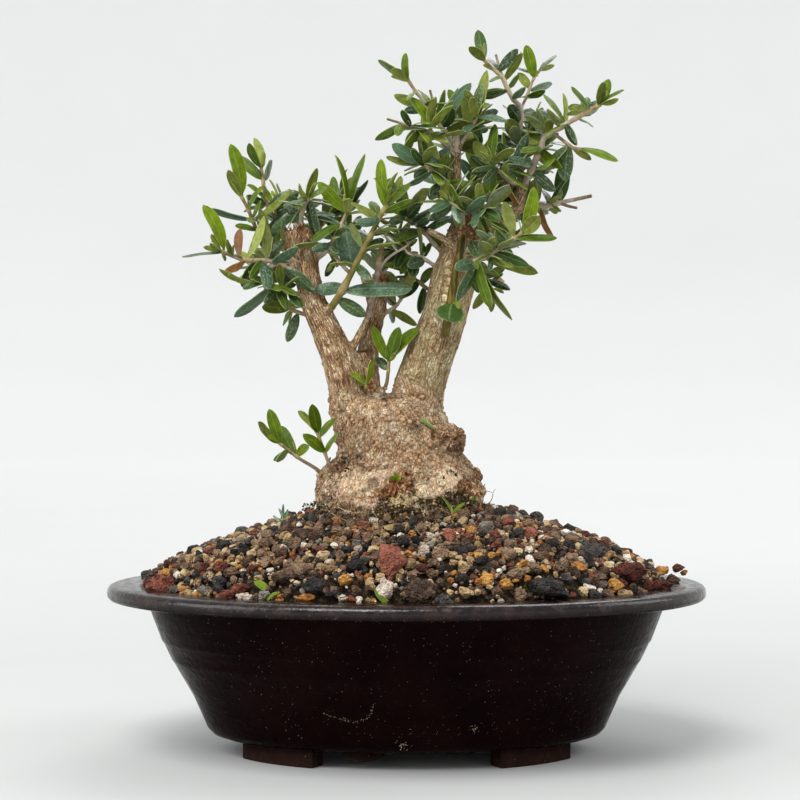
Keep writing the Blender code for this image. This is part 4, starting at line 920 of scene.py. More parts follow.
# Olive bark: dry and matt. The base is pinkish tan, split finely along the grain and covered with corky
# lenticels 1 to 2 mm wide; the right stem is smooth and olive grey; bare wood is pale and fibrous.
bark, tree, shader = new_material("olive_bark")
spot = node("TexCoord", out="Object")
along = node("Attribute grain", out="Vector")
mask = {name: node(f"Attribute {name}", out="Fac") for name in MASKS}
strands = node("TexNoise", along, 1.7, 8, 0.74)
clouds, stains, rust = (node("TexNoise", spot, scale, 4) for scale in (150, 75, 620))
grit = node("TexNoise", spot, 1500, 5, 0.7)
furrow = node("Math SUBTRACT", node("TexNoise", along, 0.85, 5, Distortion=0.5), 0.5)
furrow = node("MapRange", node("Math ABSOLUTE", furrow), 0, 0.06, 1, 0)
furrow = node("Math MULTIPLY", furrow, mask["rough"])
warts = node("TexVoronoi", spot, 520)
size = node("MapRange", node("SeparateColor", warts.node.outputs["Color"]), 0.3, 1, 0.05, 0.42)
dome = node("MapRange", node("Math DIVIDE", warts, size), 0, 1, 1, 0)
dome = node("Math MULTIPLY", dome, mask["wart"])
shade = node("Math ADD", strands, node("Math MULTIPLY_ADD", clouds, 0.4, -0.2))
# Painted shade: the tone is a little darker in the valleys of the fissures.
shade = node("Math MULTIPLY_ADD", mask["relief"], 0.07, shade)
tan = node("ValToRGB", shade, ramp="0.34 #5f3f28, 0.42 #ae8260, 0.49 #d9b18c, 0.61 #f8e3c8")
olive = node("ValToRGB", shade, ramp="0.34 #564b2a, 0.44 #8b7f54, 0.53 #a99e74, 0.66 #d0c7a4")
green = node("Math MULTIPLY", mask["green"], node("MapRange", clouds, 0.35, 0.55, 0.5, 1))
rusty = node("MapRange", rust, 0.58, 0.68, 0, 0.55)
rusty = node("Math MULTIPLY", rusty, node("MapRange", mask["green"], 0.3, 0.9, 1, 0.25))
# Painted shade: a dark ring round the edge of each small wart.
rim = node("ValToRGB", dome, ramp="0 0, 0.15 0.7, 0.4 0.1, 1 0")
pale = node("ValToRGB", strands, ramp="0.36 #7d5138, 0.44 #c99b7c, 0.52 #e0bfa2, 0.64 #f6e6d2")
creamy = node("ValToRGB", strands, ramp="0.36 #86633f, 0.44 #cfae85, 0.52 #e3cba5, 0.64 #f5ead2")
pale = node("Mix RGBA", node("MapRange", stains, 0.46, 0.6), pale, creamy)
red = node("ValToRGB", rust, ramp="0.36 #3c2113, 0.46 #80522d, 0.56 #a98052, 0.68 #cdab80")
sawn = node("ValToRGB", rust, ramp="0.35 #5b3c28, 0.65 #94694a")
# Painted shade in the creases, under the ledge and in the dark spots, with gravel dust at the foot,
# dirt behind and a darker burl, mixed in as dark brown.
grime_and_shade = node("Math MULTIPLY", mask["dirt"], node("MapRange", rust, 0.35, 0.55, 1, 0.35))
nets = node("VectorMath MULTIPLY_ADD", stains, (0.004, 0.004, 0.004), spot)
nets = node("MapRange", node("TexVoronoi DISTANCE_TO_EDGE", nets, 430), 0, 0.09, 1, 0)
nets = node("Math MULTIPLY", nets, node("MapRange", clouds, 0.42, 0.56))
nets = node("Math MULTIPLY", nets, mask["wart"])
smooth = node("Math SUBTRACT", 1, mask["wart"])
cells = node("Mapping", along, Scale=(1, 1, 1.9))
cells = node("VectorMath MULTIPLY_ADD", rust, (0.9, 0.9, 0.9), cells)
cells = node("MapRange", node("TexVoronoi DISTANCE_TO_EDGE", cells, 1.2), 0.02, 0.15, 1, 0)
cells = node("Math MULTIPLY", cells, smooth)
colour = tan
# The rims and rings mixed in below are painted shade at the edges of the warts and lenticels.
for share, layer in (
        (green, olive), (node("Math MULTIPLY", furrow, 0.7), "#503520"), (rusty, "#9a6742"),
        (rim, "#6f4a31"), (node("Math MULTIPLY", mask["pore"], 0.75), "#5a3d28"),
        (node("MapRange", dome, 0.3, 0.8, 0, 0.75), "#caa27a"), (mask["bare"], pale),
        (mask["wound"], red), (mask["cut"], sawn), (grime_and_shade, "#33281d"),
        (node("Math MULTIPLY", nets, 0.6), "#4c3322"), (node("Math MULTIPLY", cells, 0.9), "#664c2e")):
    colour = node("Mix RGBA", share, colour, layer)
for value, *limits in ((stains, 0.35, 0.65, 0.85, 1.2), (smooth, 0.1, 0.75, 1.08, 1.34),
                       (grit, 0.35, 0.65, 0.62, 1.32)):
    colour = node("VectorMath SCALE", colour, node("MapRange", value, *limits))
scar = node("Math MULTIPLY", node("Math ADD", mask["wound"], mask["dirt"]), rust)
bumps = None
for height, strength, depth, sunk in (
        (strands, 0.8, 0.0016, False), (furrow, 0.7, 0.0005, True), (nets, 0.8, 0.0006, True),
        (cells, 0.8, 0.0003, True), (dome, 1, 0.0006, False), (scar, 0.8, 0.002, False),
        (grit, 0.8, 0.0004, False)):
    bumps = node("Bump", strength, depth, Height=height, Normal=bumps, invert=sunk)
feed(shader, Base_Color=colour, Normal=bumps, Roughness=0.85, Specular_IOR_Level=0.2)
dress(trunk, bark)
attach(trunk, "root")
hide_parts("trunk")


def seen_spot(column, row):
    """Foremost place of the trunk or the heap at a column and row of the front view, and its normal."""
    spot, normal, _, _ = bark_tree.ray_cast(EYE, place(column, row) - EYE)
    heap = on_mound(column, row)
    if spot is None or heap.y < spot.y and row > 470:
        return heap, mound_normal(heap.x, heap.y)
    return spot, normal


bark_tree = BVHTree.FromPolygons([Vector(spot) / MM for spot in places.tolist()],
                                 [tuple(face.vertices) for face in trunk.data.polygons])

# Lenticels
# Round corky warts that old olive bark breathes through, 1 to 2 mm wide, crowded in bands on the base
# and scattered up the stems. They are grown from the bark: pale on top, brown where they meet it.
LENTICEL_SHAPES = 4
# Old knots as (column, row, radius in mm, paleness) in the front view.
KNOTS = rows_of("""
454 434 1.7 0.35, 479 477 1.8 0.1, 330 400 1.2 0.5, 389 398 1.3 0.2, 337 391 0.9 0.4, 419 453 1 0.6,
427 452 1.1 0.6, 372 387 1 0.2
""")


def wart_shape(seed):
    """Low dome with an uneven rim and a split top."""
    def domed(spot):
        uneven = 1 + 0.45 * noise.noise(spot * 1.3 + Vector((seed * 5.0, 2, 0)))
        split = 0.25 * math.exp(-(spot.x / 0.22) ** 2) if spot.z > 0.4 else 0.0
        return Vector((spot.x * uneven, spot.y * uneven, max(spot.z, -0.3) * 0.75 - split))

    return shaped_ball(2, domed)


warts = []
wart_shapes = [wart_shape(seed) for seed in range(LENTICEL_SHAPES)]
for index, radius in lenticel_spots:
    spot, normal = Vector(places[index] / MM), Vector(normals[index])
    spin = Matrix.Rotation(draw.uniform(0, 6.3), 3, "Z").to_quaternion()
    turn = normal.to_track_quat("Z", "Y") @ spin
    size = (radius * 2, radius * 2 * draw.uniform(0.7, 1.0), radius * 2 * draw.uniform(0.7, 1.05))
    points, faces = draw.choice(wart_shapes)
    height = (points[:, 2] + 0.3)[:, None]
    spot -= normal * radius * LENTICEL_SINK
    warts.append((*grain_copy((points, faces), spot, size, turn), 0, height, draw.random()))
for column, row, radius, paleness in KNOTS:
    spot, normal = seen_spot(column, row)
    points, faces = broken_shape(column, 3, 0.32)
    height = (points[:, 2] * 0.4 + paleness)[:, None]
    turn = normal.to_track_quat("Z", "Y")
    warts.append((*grain_copy((points, faces), spot, [radius * 2] * 3, turn), 0, height, 0.3))
cork, tree, shader = new_material("lenticel_cork")
spot = node("TexCoord", out="Object")
height = node("Attribute height", out="Fac")
tone = node("Attribute tone", out="Fac")
crumble = node("TexNoise", spot, 1400, 5)
shade = node("Math MULTIPLY_ADD", crumble, 0.5, -0.05)
shade = node("Math MULTIPLY_ADD", height, 0.45, shade)
shade = node("Math MULTIPLY_ADD", tone, 0.2, shade)
colour = node("ValToRGB", shade, ramp="0.22 #452d1b, 0.45 #7b5b40, 0.68 #a78460, 0.95 #d0b28e")
bumps = node("Bump", 0.8, 0.0004, Height=crumble)
feed(shader, Base_Color=colour, Normal=bumps, Roughness=0.9, Specular_IOR_Level=0.2)
lenticels = mesh_piece("lenticels", warts, (cork,), (("height", "FLOAT"), ("tone", "FLOAT")), smooth=50)
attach(lenticels, "root")

# Leafy shoots
# This year's growth from the cut-back limbs: brown twigs with opposite pairs of leathery leaves, dark
# and wet above, grey-green and matt below, and yellow-green where they are young. Every shoot is a
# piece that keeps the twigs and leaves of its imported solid.
LEAF_THICKNESS = 0.8
LEAF_ROOT_DEPTH = 0.3
LEAF_RINGS = ((0.34, 0.5), (0.7, 0.44))
LEAF_END_INSET = 2.4
LEAF_BOW = 0.06
LEAF_RATIO = 0.34
LEAF_LEAST_RATIO = 0.306
LEAF_TYPICAL_LENGTH = 12.5
LEAF_LENGTH_RANGE = (0.85, 1.15)
LEAF_GREATEST_TURN = 8.5
OLD_LEAF_WIDENING = 1.2
LEAF_CLEARANCE = 0.35
LEAF_FREE_FROM = 0.15
SWINGS = (0.0, 2.0, -2.0, 4.0, -4.0, 6.5, -6.5, 9.0, -9.0, 12.0, -12.0)
MM_PER_UNIT = VIEW_RANGE / VIEW_FOCUS
TWIG_SIDES = 5
TWIG_TAPER = 0.25
PAIR_FIRST = 0.6
PAIR_LENGTHS = (11.0, 15.0)
PAIR_SHORTENING = 0.25
PAIR_TURN = 90.0
PAIR_TURN_RANGE = 15.0
PAIR_SPREAD = 48.0
PAIR_SPREAD_RANGE = 8.0
PAIR_OPENING = (1.15, 0.65)
PAIR_SWING_ANGLE = 0.12
PAIR_LIFT = 0.15
PAIR_STALK = 1.2
PAIR_KINDS = "gdsdo"
PAIR_SEED = 11
# Each shoot has its name, its radii in mm at the foot and at the end, and for a paired shoot how many
# pairs; then its stem and its side twigs as places (column, row, depth); then its leaves as
# (foot column, foot row, tip column, tip row, width in the view, kind).
SHOOTS = {}
for line in """\
shoot_left_tall 1 0.65
stem 299 256 -1, 282 249 0, 270 242 1, 258 232 0, 253 221 -1, 247 207 -3, 241 196 -4
leaves 241 195 230.5 144 13 y, 241 197 228 170 10 o, 252 219 209 209 4 s, 254 220 292 190 8 o,
 258 231 235 226 6 g, 262 236 297 208 11 d, 268 242 282 222 7 d, 249 210 258 192 5 g
shoot_left_top 0.95 0.6
stem 296 250 3, 285 229 7, 276 219 8, 268 207 8, 264 190 7, 263 178 6, 261 168 5
leaves 263 180 238 156 11 g, 261 167 249 143 8 g, 262 167 254 138 9 p, 264 181 272 160 4 d,
 265 185 273 200 4 y, 265 200 247 185 5 y, 266 205 246 196 7 d, 268 208 299 192 12 d,
 276 219 297 197 10 d, 280 224 268 236 7 s
shoot_left_crest 0.9 0.6
stem 301 240 -3, 301 218 -6, 304 208 -7, 309 199 -8
leaves 307 202 317 168 8 o, 309 199 318 239 9 d, 304 208 290 222 8 s, 303 210 321 200 7 s,
 309 199 327 188 6 g, 301 214 283 206 7 d, 309 199 299 184 5 p
shoot_left_reach 1 0.7
stem 304 275 -2, 287 268 -6, 270 261 -9, 246 260 -12, 228 254 -14, 221 251 -15
leaves 223 250 203 205 12 y, 224 253 182 257 3 s, 221 251 211 243 4 g, 246 259 264 216 9 p,
 240 257 240 229 9 r, 244 260 225 270 6 r, 250 260 228 276 5 y, 256 260 242 287 7 d,
 262 261 250 279 7 g, 268 261 284 240 8 d, 284 267 315 292 10 d, 272 262 298 247 7 s,
 234 256 226 240 5 o
shoot_left_low 0.9 0.6
stem 313 297 -3, 294 293 -6, 281 289 -8, 270 285 -9, 262 283 -10
leaves 262 283 219 269 4 y, 264 283 243 289 5 d, 270 285 253 278 6 g, 276 288 264 303 6 d,
 272 286 234 317 7 s, 282 289 300 274 9 d, 288 291 284 310 6 g
shoot_left_under 0.8 0.55
stem 319 319 0, 300 313 1, 290 309 3, 281 305 5
leaves 290 309 262 307 13 o, 282 305 268 293 7 d, 298 313 287 342 9 d, 293 311 283 325 6 g
shoot_left_inner 1.05 0.7
stem 309 263 -2, 323 254 -5, 334 240 -7, 341 226 -8, 347 213 -9
leaves 348 212 318 182 12 y, 348 211 365 154 9 g, 345 217 335 155 5 y, 343 222 368 180 7 d,
 342 226 303 213 5 s, 343 224 352 266 21 s, 334 240 362 226 8 d, 336 238 318 232 8 s,
 329 247 345 256 6 g
shoot_golden 1.5 0.85
stem 322 318 -2, 333 305 -8, 345 285 -12, 357 262 -14, 371 235 -16, 379 218 -17, 387 205 -18
twig 351 274 -13, 341 264 -10, 333 252 -9, 329 243 -8
leaves 385 207 381 159 11 y, 386 206 374 178 5 y, 387 205 391 178 11 d, 386 207 401 176 8 o,
 380 217 351 203 8 o, 379 219 356 222 7 s, 383 212 413 200 8 g, 372 234 397 227 4 d,
 345 286 315 290 11 s, 342 291 412 289 12 s, 337 298 366 316 11 d, 356 265 371 280 8 d,
 363 250 384 240 7 d, 338 259 325 276 7 d, 330 245 312 250 7 s, 331 247 345 236 6 g
shoot_middle 0.8 0.55
stem 378 318 6, 389 311 6, 396 306 7, 402 298 8
leaves 390 311 417 325 8 o, 397 305 384 296 6 d, 402 298 397 280 7 d, 401 299 413 288 6 g,
 394 308 392 323 6 d
shoot_crotch 0.8 0.55
stem 380 396 0, 386 385 -1, 388 373 -2, 389 361 -3
leaves 388 360 373 326 10 y, 389 361 419 328 11 y, 389 362 399 327 13 g, 387 368 409 371 7 g,
 387 370 377 358 8 d
shoot_tiny 0.55 0.45
stem 364 396 1, 366 388 -10, 366 384 -11
leaves 366 385 350 373 5 y, 366 384 371 360 5 y
shoot_foot_left 0.75 0.55
stem 332 481 -6, 315 468 -7, 300 459 -8, 288 450 -9, 279 443 -10
leaves 279 443 258 422 7 o, 280 443 269 409 12 y, 296 456 281 426 13 g, 296 457 308 445 9 y,
 288 450 276 461 6 g
shoot_foot_right 0.75 0.55
stem 338 480 -10, 330 466 -15, 326 456 -15, 322 445 -15, 317 432 -15
leaves 317 432 298 411 7 o, 318 432 312 404 12 y, 324 452 303 434 11 y, 325 452 338 433 5 g,
 320 438 335 418 7 g
shoot_notch_upper 0.9 0.6
stem 452 262 3, 434 244 4, 424 232 4, 413 222 3, 405 216 2
leaves 407 218 420 203 8 d, 406 217 388 224 8 d, 405 216 398 198 8 d, 414 223 455 256 9 o,
 413 222 434 208 6 d, 424 232 452 217 7 d, 423 231 404 240 8 d, 433 243 424 256 6 g,
 417 226 430 219 7 s
shoot_notch_middle 0.8 0.55
stem 449 276 2, 429 262 1, 418 256 2, 408 252 4, 400 250 5
leaves 424 260 408 266 10 s, 410 253 398 244 5 y, 402 250 384 262 9 d, 404 251 396 268 8 d,
 416 256 412 277 9 d, 401 250 386 246 6 g, 420 257 424 243 5 g
shoot_notch_lower 0.75 0.55
stem 444 300 6, 425 287 9, 418 281 11, 410 275 13
leaves 424 286 420 314 7 d, 419 282 404 296 9 d, 411 276 398 284 7 d, 412 277 416 262 8 d,
 421 284 433 268 9 o, 410 275 400 263 6 g
shoot_crown_left 0.9 0.65
stem 456 150 0, 450 139 -3, 440 125 -5, 425 103 -7, 416 92 -8, 408 80 -9
twig 438 122 -5, 434 106 -7, 430 90 -8
leaves 410 81 391 70 10 o, 409 80 378 60 5 g, 408 79 406 53 7 g, 427 106 394 95 11 o,
 430 110 418 90 6 y, 427 107 404 111 7 s, 436 114 445 90 6 g, 440 125 471 83 10 s,
 442 128 458 88 5 d, 442 127 452 107 13 d, 445 132 470 122 6 o, 416 92 408 100 5 g
shoot_crown_front 0.85 0.65
stem 457 160 -1, 446 146 -6, 438 138 -9, 431 131 -11
twig 433 133 -11, 420 129 -12, 404 124 -13, 387 119 -14
leaves 430 130 410 97 9 y, 430 130 430 100 9 p, 402 124 375 140 8 g, 410 126 402 110 5 d,
 431 132 447 143 8 o, 437 138 416 131 11 o, 414 128 386 137 3 p, 420 130 404 146 6 g
shoot_crown_low 0.95 0.7
stem 458 200 -1, 447 186 -5, 434 172 -8, 421 163 -10
leaves 421 163 392 144 11 s, 421 163 386 157 8 o, 428 167 451 148 8 s, 432 170 404 187 4 s,
 428 167 414 178 9 d, 440 178 442 158 9 d, 446 185 485 185 6 g, 436 174 420 152 8 s,
 443 182 430 196 8 d, 424 165 411 150 7 d
shoot_crown_sage 0.75 0.6
stem 458 152 -1, 463 141 -2, 470 130 -3, 477 118 -4
leaves 477 118 487 70 10 o, 476 120 462 104 13 o, 475 122 498 111 7 s, 471 129 488 130 7 s,
 468 133 454 122 8 d, 477 118 508 122 6 s, 474 124 480 142 7 d
shoot_crown_top 1.2 0.65
stem 519 160 8, 519 149 8, 520 126 7, 521 108 6, 514 100 5, 507 88 4, 502 77 3, 492 68 2, 484 60 1
twig 521 109 6, 528 93 9, 534 78 12, 540 70 14
twig 503 79 3, 499 66 5, 496 55 6
leaves 484 60 478 30 12 e, 485 61 469 47 9 o, 498 72 518 49 10 e, 504 81 522 53 8 o,
 497 70 488 58 5 d, 502 77 490 82 5 g, 507 88 519 75 5 g, 513 99 525 87 5 s, 534 78 526 45 12 y,
 535 77 520 52 6 y, 540 70 556 55 5 e, 536 76 514 67 4 d, 530 88 518 73 9 o, 529 90 552 84 5 s,
 526 97 545 90 5 g, 508 90 480 96 5 d, 520 122 509 105 11 d, 519 137 506 120 15 o,
 520 130 540 144 13 o, 519 147 494 136 8 d, 520 116 536 112 8 d
shoot_crown_right 1.35 0.75
stem 522 192 8, 526 181 3, 533 166 -1, 541 148 -4, 545 137 -5, 560 128 -7, 575 119 -9, 590 110 -11,
 600 105 -12
twig 553 133 -6, 564 141 -9, 573 148 -10, 581 149 -11
leaves 600 105 624 90 4 g, 600 105 609 79 11 g, 599 106 603 82 9 o, 590 110 571 87 6 g,
 578 118 588 97 10 g, 583 115 599 101 9 d, 587 112 568 107 10 o, 565 125 543 94 6 g,
 564 126 563 93 4 p, 563 127 538 110 7 s, 560 128 552 120 5 s, 576 119 593 127 4 g,
 566 124 577 145 6 d, 548 136 533 116 11 d, 549 134 550 119 9 o, 580 149 618 161 8 g,
 573 147 591 160 6 o, 568 144 565 181 13 d, 541 148 520 152 7 g, 537 156 560 164 12 o,
 531 170 555 191 10 d, 534 164 508 158 8 s, 540 150 562 168 8 y
shoot_crown_centre 0.85 0.65
stem 521 184 7, 511 182 1, 502 174 -3, 491 163 -6
twig 508 179 -0.5, 508 170 -2.5, 507 161 -4
leaves 491 164 474 141 12 o, 490 164 488 200 13 g, 492 164 495 124 9 g, 503 175 470 156 7 d,
 507 162 529 152 7 s, 507 161 499 142 8 d, 509 168 526 176 8 d, 498 170 472 172 8 d,
 508 180 520 206 3 r, 510 171 528 134 9 s, 497 169 482 184 7 d
shoot_crown_burst 0.95 0.6
stem 463 236 -1, 463 221 -7, 462 212 -11, 455 206 -13, 449 203 -14
twig 462 213 -11, 474 212 -12, 488 208 -13
leaves 449 203 444 181 11 o, 456 206 451 182 6 g, 464 213 450 184 6 g, 462 212 479 191 8 s,
 466 213 486 196 7 s, 450 203 430 212 7 s, 453 205 428 220 7 d, 487 208 512 190 7 o,
 487 208 498 241 5 g, 480 210 500 220 9 d, 462 213 448 222 6 s, 478 211 474 228 6 s,
 484 209 508 212 12 d
shoot_right_grey 1.1 0.75
stem 515 212 8, 527 208 12, 547 206 14, 563 202 15, 577 199 16, 591 196 17
twig 560 203 15, 568 206 13, 577 208 12
leaves 560 202 565 162 13 d, 549 205 543 189 6 d, 542 206 554 238 5 r, 533 207 516 195 8 d,
 529 208 540 185 8 s, 536 207 548 214 5 d, 530 208 524 226 8 d, 553 205 560 212 5 g
shoot_right_front 0.95 0.65
stem 457 270 -2, 464 267 -11, 474 262 -15, 492 254 -18, 515 238 -20, 523 232 -21
leaves 523 232 534 187 13 y, 522 233 539 216 15 o, 515 238 557 238 8 g, 508 243 494 226 6 s,
 515 238 529 226 6 d, 500 249 488 232 9 d, 494 253 529 266 9 d, 492 254 513 268 8 o,
 497 251 516 246 5 d, 484 258 538 273 11 o, 474 262 512 320 7 g, 478 261 457 301 9 d,
 474 262 455 268 10 s, 482 258 472 240 12 d, 478 260 491 308 9 g, 468 265 479 293 7 d
shoot_stem_bud 0.6 0.5
stem 450 322 -2, 452 317 -10.5, 454 312 -12
leaves 452 304 449 321 23 d, 453 308 458 300 5 g
shoot_right_low 0.7 0.5
stem 466 275 6, 481 276 8, 487 281 10, 491 288 11
leaves 489 285 504 281 7 r, 491 288 491 312 8 o, 490 286 473 309 9 o, 484 278 505 266 8 g,
 486 280 510 290 7 d
back_left_high 0.85 0.6 5
stem 312 240 20, 321 226 26, 333 212 29, 342 196 31
back_left_outer 0.85 0.6 5
stem 311 242 14, 302 231 19, 290 218 25, 280 204 29
back_left_low 0.9 0.6 5
stem 305 268 0, 298 264 9, 286 262 18, 272 266 25, 259 268 29
back_middle 0.8 0.6 5
stem 363 275 22, 358 264 27, 351 252 30, 346 236 32
back_middle_right 0.8 0.6 5
stem 368 290 15, 378 278 20, 389 264 25, 398 246 28
back_right_high 0.9 0.6 5
stem 471 211 22, 474 199 28, 478 184 31, 481 166 32
back_right_inner 0.9 0.6 5
stem 468 222 14, 458 208 20, 446 194 26, 437 178 29
back_right_outer 0.9 0.6 5
stem 470 214 20, 486 206 25, 500 201 29, 517 194 31
back_right_top 0.9 0.6 6
stem 457 172 0, 458 163 6, 458 148 13, 460 130 18, 461 116 20
back_right_tip 0.85 0.6 5
stem 519 172 8, 525 162 13, 530 148 19, 535 128 23
back_right_low 0.8 0.6 4
stem 466 246 5, 473 243 14, 483 240 21, 497 240 27
""".replace("\n ", " ").splitlines():
    word, rows = line.split()[0], rows_of(line.split(None, 1)[1])
    if "_" in word:
        thick, thin, *pairs = rows[0]
        shoot = SHOOTS[word] = {"radii": (thick, thin), "pairs": int(sum(pairs)),
                                "twigs": [], "leaves": []}
    elif word == "twig":
        shoot["twigs"].append(rows)
    else:
        shoot[word] = rows


def placed(rows):
    """Points of the places of a route."""
    return [place(*row) for row in rows]


def smooth_route(points, steps):
    """Points of a Catmull-Rom curve through the route's own points."""
    padded = [2 * points[0] - points[1], *points, 2 * points[-1] - points[-2]]
    curve = []
    for a, b, c, d in zip(padded, padded[1:], padded[2:], padded[3:]):
        for t in (step / steps for step in range(steps)):
            curve.append(0.5 * (2 * b + (c - a) * t + (2 * a - 5 * b + 4 * c - d) * t ** 2
                                + (3 * b - a - 3 * c + d) * t ** 3))
    return curve + [points[-1]]


def tube(points, radii, sides, first_way=None):
    """Points and faces of a closed tube: rings square to a route, without twist between them."""
    spots = []
    across = Vector((0, 1, 0))
    for i, (middle, radius) in enumerate(zip(points, radii)):
        way = points[min(i + 1, len(points) - 1)] - points[max(i - 1, 0)]
        way = (way if i or first_way is None else first_way).normalized()
        across = (across - way * across.dot(way)).normalized()
        up = way.cross(across)
        for turn in (2 * math.pi * k / sides for k in range(sides)):
            spots.append(tuple(middle + (across * math.cos(turn) + up * math.sin(turn)) * radius))
    last = len(spots) - sides
    faces = [tuple(range(sides)), tuple(range(last, last + sides))]
    for low in range(0, last, sides):
        high = low + sides
        faces += [(low + k, low + (k + 1) % sides, high + (k + 1) % sides, high + k)
                  for k in range(sides)]
    return spots, faces


def tapered(first, last, count):
    """Even steps from one radius to another."""
    return [between(first, last, i / (count - 1)) for i in range(count)]


def leaf_points(root, foot, tip, side, up, width, margin=0.0):
    """Points of a leaf blade: its sunk root, two rings with a ridge, and the tip."""
    length = (tip - foot).length
    points = [root - (tip - foot).normalized() * LEAF_ROOT_DEPTH]
    for share, half in LEAF_RINGS:
        middle = foot.lerp(tip, share) + up * (LEAF_BOW * length - margin)
        reach = side * (width * half + margin)
        points += [middle - reach, middle + reach, middle + up * (LEAF_THICKNESS + 2 * margin)]
    points.append(tip + (tip - foot).normalized() * margin)
    return points


LEAF_FACES = (
    (0, 1, 2), (0, 2, 3), (0, 3, 1),
    (1, 2, 5), (1, 5, 4), (2, 3, 6), (2, 6, 5), (3, 1, 4), (3, 4, 6),
    (4, 5, 7), (5, 6, 7), (6, 4, 7),
)


def nearest_on(routes, column, row):
    """Point of the shoot's routes that lies nearest to a place of the front view."""
    found = []
    for route in routes:
        for start, end in zip(route, route[1:]):
            run = Vector((end[0] - start[0], end[1] - start[1]))
            reach = Vector((column - start[0], row - start[1]))
            most = 1.0 - (LEAF_END_INSET / run.length if end is route[-1] else 0.0)
            share = min(unit(reach.dot(run) / run.length_squared), most)
            spot = tuple(between(a, b, share) for a, b in zip(start, end))
            found.append((math.hypot(column - spot[0], row - spot[1]), spot))
    return min(found, key=lambda hit: hit[0])[1]


def drawn_leaf(routes, leaf, draw):
    """Tries of a leaf that is drawn in the front view, each swung to another depth."""
    foot_column, foot_row, tip_column, tip_row, seen, kind = leaf
    seen_width = seen * MM_PER_UNIT * (OLD_LEAF_WIDENING if kind in "ds" else 1.0)
    spot = nearest_on(routes, foot_column, foot_row)
    foot = place(foot_column, foot_row, spot[2])
    flat = (place(tip_column, tip_row, spot[2]) - foot).length
    true = max(flat, LEAF_TYPICAL_LENGTH * draw.uniform(*LEAF_LENGTH_RANGE))
    turn = min(math.sqrt(true ** 2 - flat ** 2), LEAF_GREATEST_TURN) * draw.choice((-1, 1))
    lean = draw.choice((-1, 1))
    width = max(seen_width, LEAF_LEAST_RATIO * math.hypot(flat, turn))
    roll = math.acos(seen_width / width) * lean
    for swing in SWINGS:
        tip = place(tip_column, tip_row, spot[2] + turn + swing)
        way = (tip - foot).normalized()
        across = way.cross(Vector((0, 1, 0))).normalized()
        out = across.cross(way)
        out *= -1 if out.y > 0 else 1
        side = across * math.cos(roll) + out * math.sin(roll)
        up = (out * math.cos(roll) - across * math.sin(roll)) * (-1 if kind in "op" else 1)
        yield place(*spot), foot, tip, side, up, width, kind


def paired_leaves(points, pairs, draw):
    """Opposite pairs up a shoot, each pair square to the last, as lists of tries."""
    total = len(points) - 1
    for pair in range(pairs):
        share = min((pair + PAIR_FIRST) / (pairs - 1 + PAIR_FIRST), 1.0)
        at = share * total
        index = min(int(at), total - 1)
        root = points[index].lerp(points[index + 1], at - index)
        way = (points[index + 1] - points[index]).normalized()
        cross = way.cross(Vector((1, 0, 0.2))).normalized()
        other = way.cross(cross)
        length = draw.uniform(*PAIR_LENGTHS) * (1 - PAIR_SHORTENING * share)
        start = math.radians(PAIR_TURN * pair + draw.uniform(-PAIR_TURN_RANGE, PAIR_TURN_RANGE))
        opening = between(*PAIR_OPENING, share)
        for half in (0, math.pi):
            spread = PAIR_SPREAD * opening + draw.uniform(-PAIR_SPREAD_RANGE, PAIR_SPREAD_RANGE)
            kind = "y" if pair == pairs - 1 else draw.choice(PAIR_KINDS)
            axes = (way, cross, other)
            yield [paired_leaf(root, axes, start + half + swing * PAIR_SWING_ANGLE,
                               math.radians(spread), length, kind) for swing in SWINGS]


def paired_leaf(root, axes, turn, spread, length, kind):
    """Leaf that leaves the shoot at the angle spread, turned about the shoot's own way."""
    way, cross, other = axes
    sideways = cross * math.cos(turn) + other * math.sin(turn)
    grow = way * math.cos(spread) + sideways * math.sin(spread) + Vector((0, 0, PAIR_LIFT))
    grow.normalize()
    side = grow.cross(sideways.cross(grow)).normalized()
    up = side.cross(grow).normalized()
    foot = root + grow * PAIR_STALK
    return root, foot, foot + grow * length, side, -up if up.z < 0 else up, length * LEAF_RATIO, kind


def tree_of(points, faces):
    """Search tree of a mesh."""
    return BVHTree.FromPolygons([Vector(p) for p in points], faces)


def blade_tree(leaf):
    """The part of a leaf that must not cross a leaf of its own shoot."""
    foot, tip, side, up, width, _ = leaf[1:]
    return tree_of(leaf_points(foot.lerp(tip, LEAF_FREE_FROM), foot, tip, side, up, width), LEAF_FACES)


def first_clear(tries, others, own):
    """First try that is clear of the other shoots and of the blades of its own."""
    for leaf in tries:
        probe = tree_of(leaf_points(*leaf[:6], margin=LEAF_CLEARANCE), LEAF_FACES)
        if not any(probe.overlap(other) for other in others):
            blade = blade_tree(leaf)
            if not any(blade.overlap(other) for other in own):
                return leaf
    return None


def stem_tubes(shoot):
    """Tubes of a shoot and its side twigs, as (points, faces)."""
    inner, *route = placed(shoot["stem"])
    thick, thin = shoot["radii"]
    return [tube(route, tapered(thick, thin, len(route)), TWIG_SIDES, route[0] - inner)] + [
        tube(placed(twig), tapered(thin, thin * (1 - TWIG_TAPER), len(twig)), TWIG_SIDES)
        for twig in shoot["twigs"]]


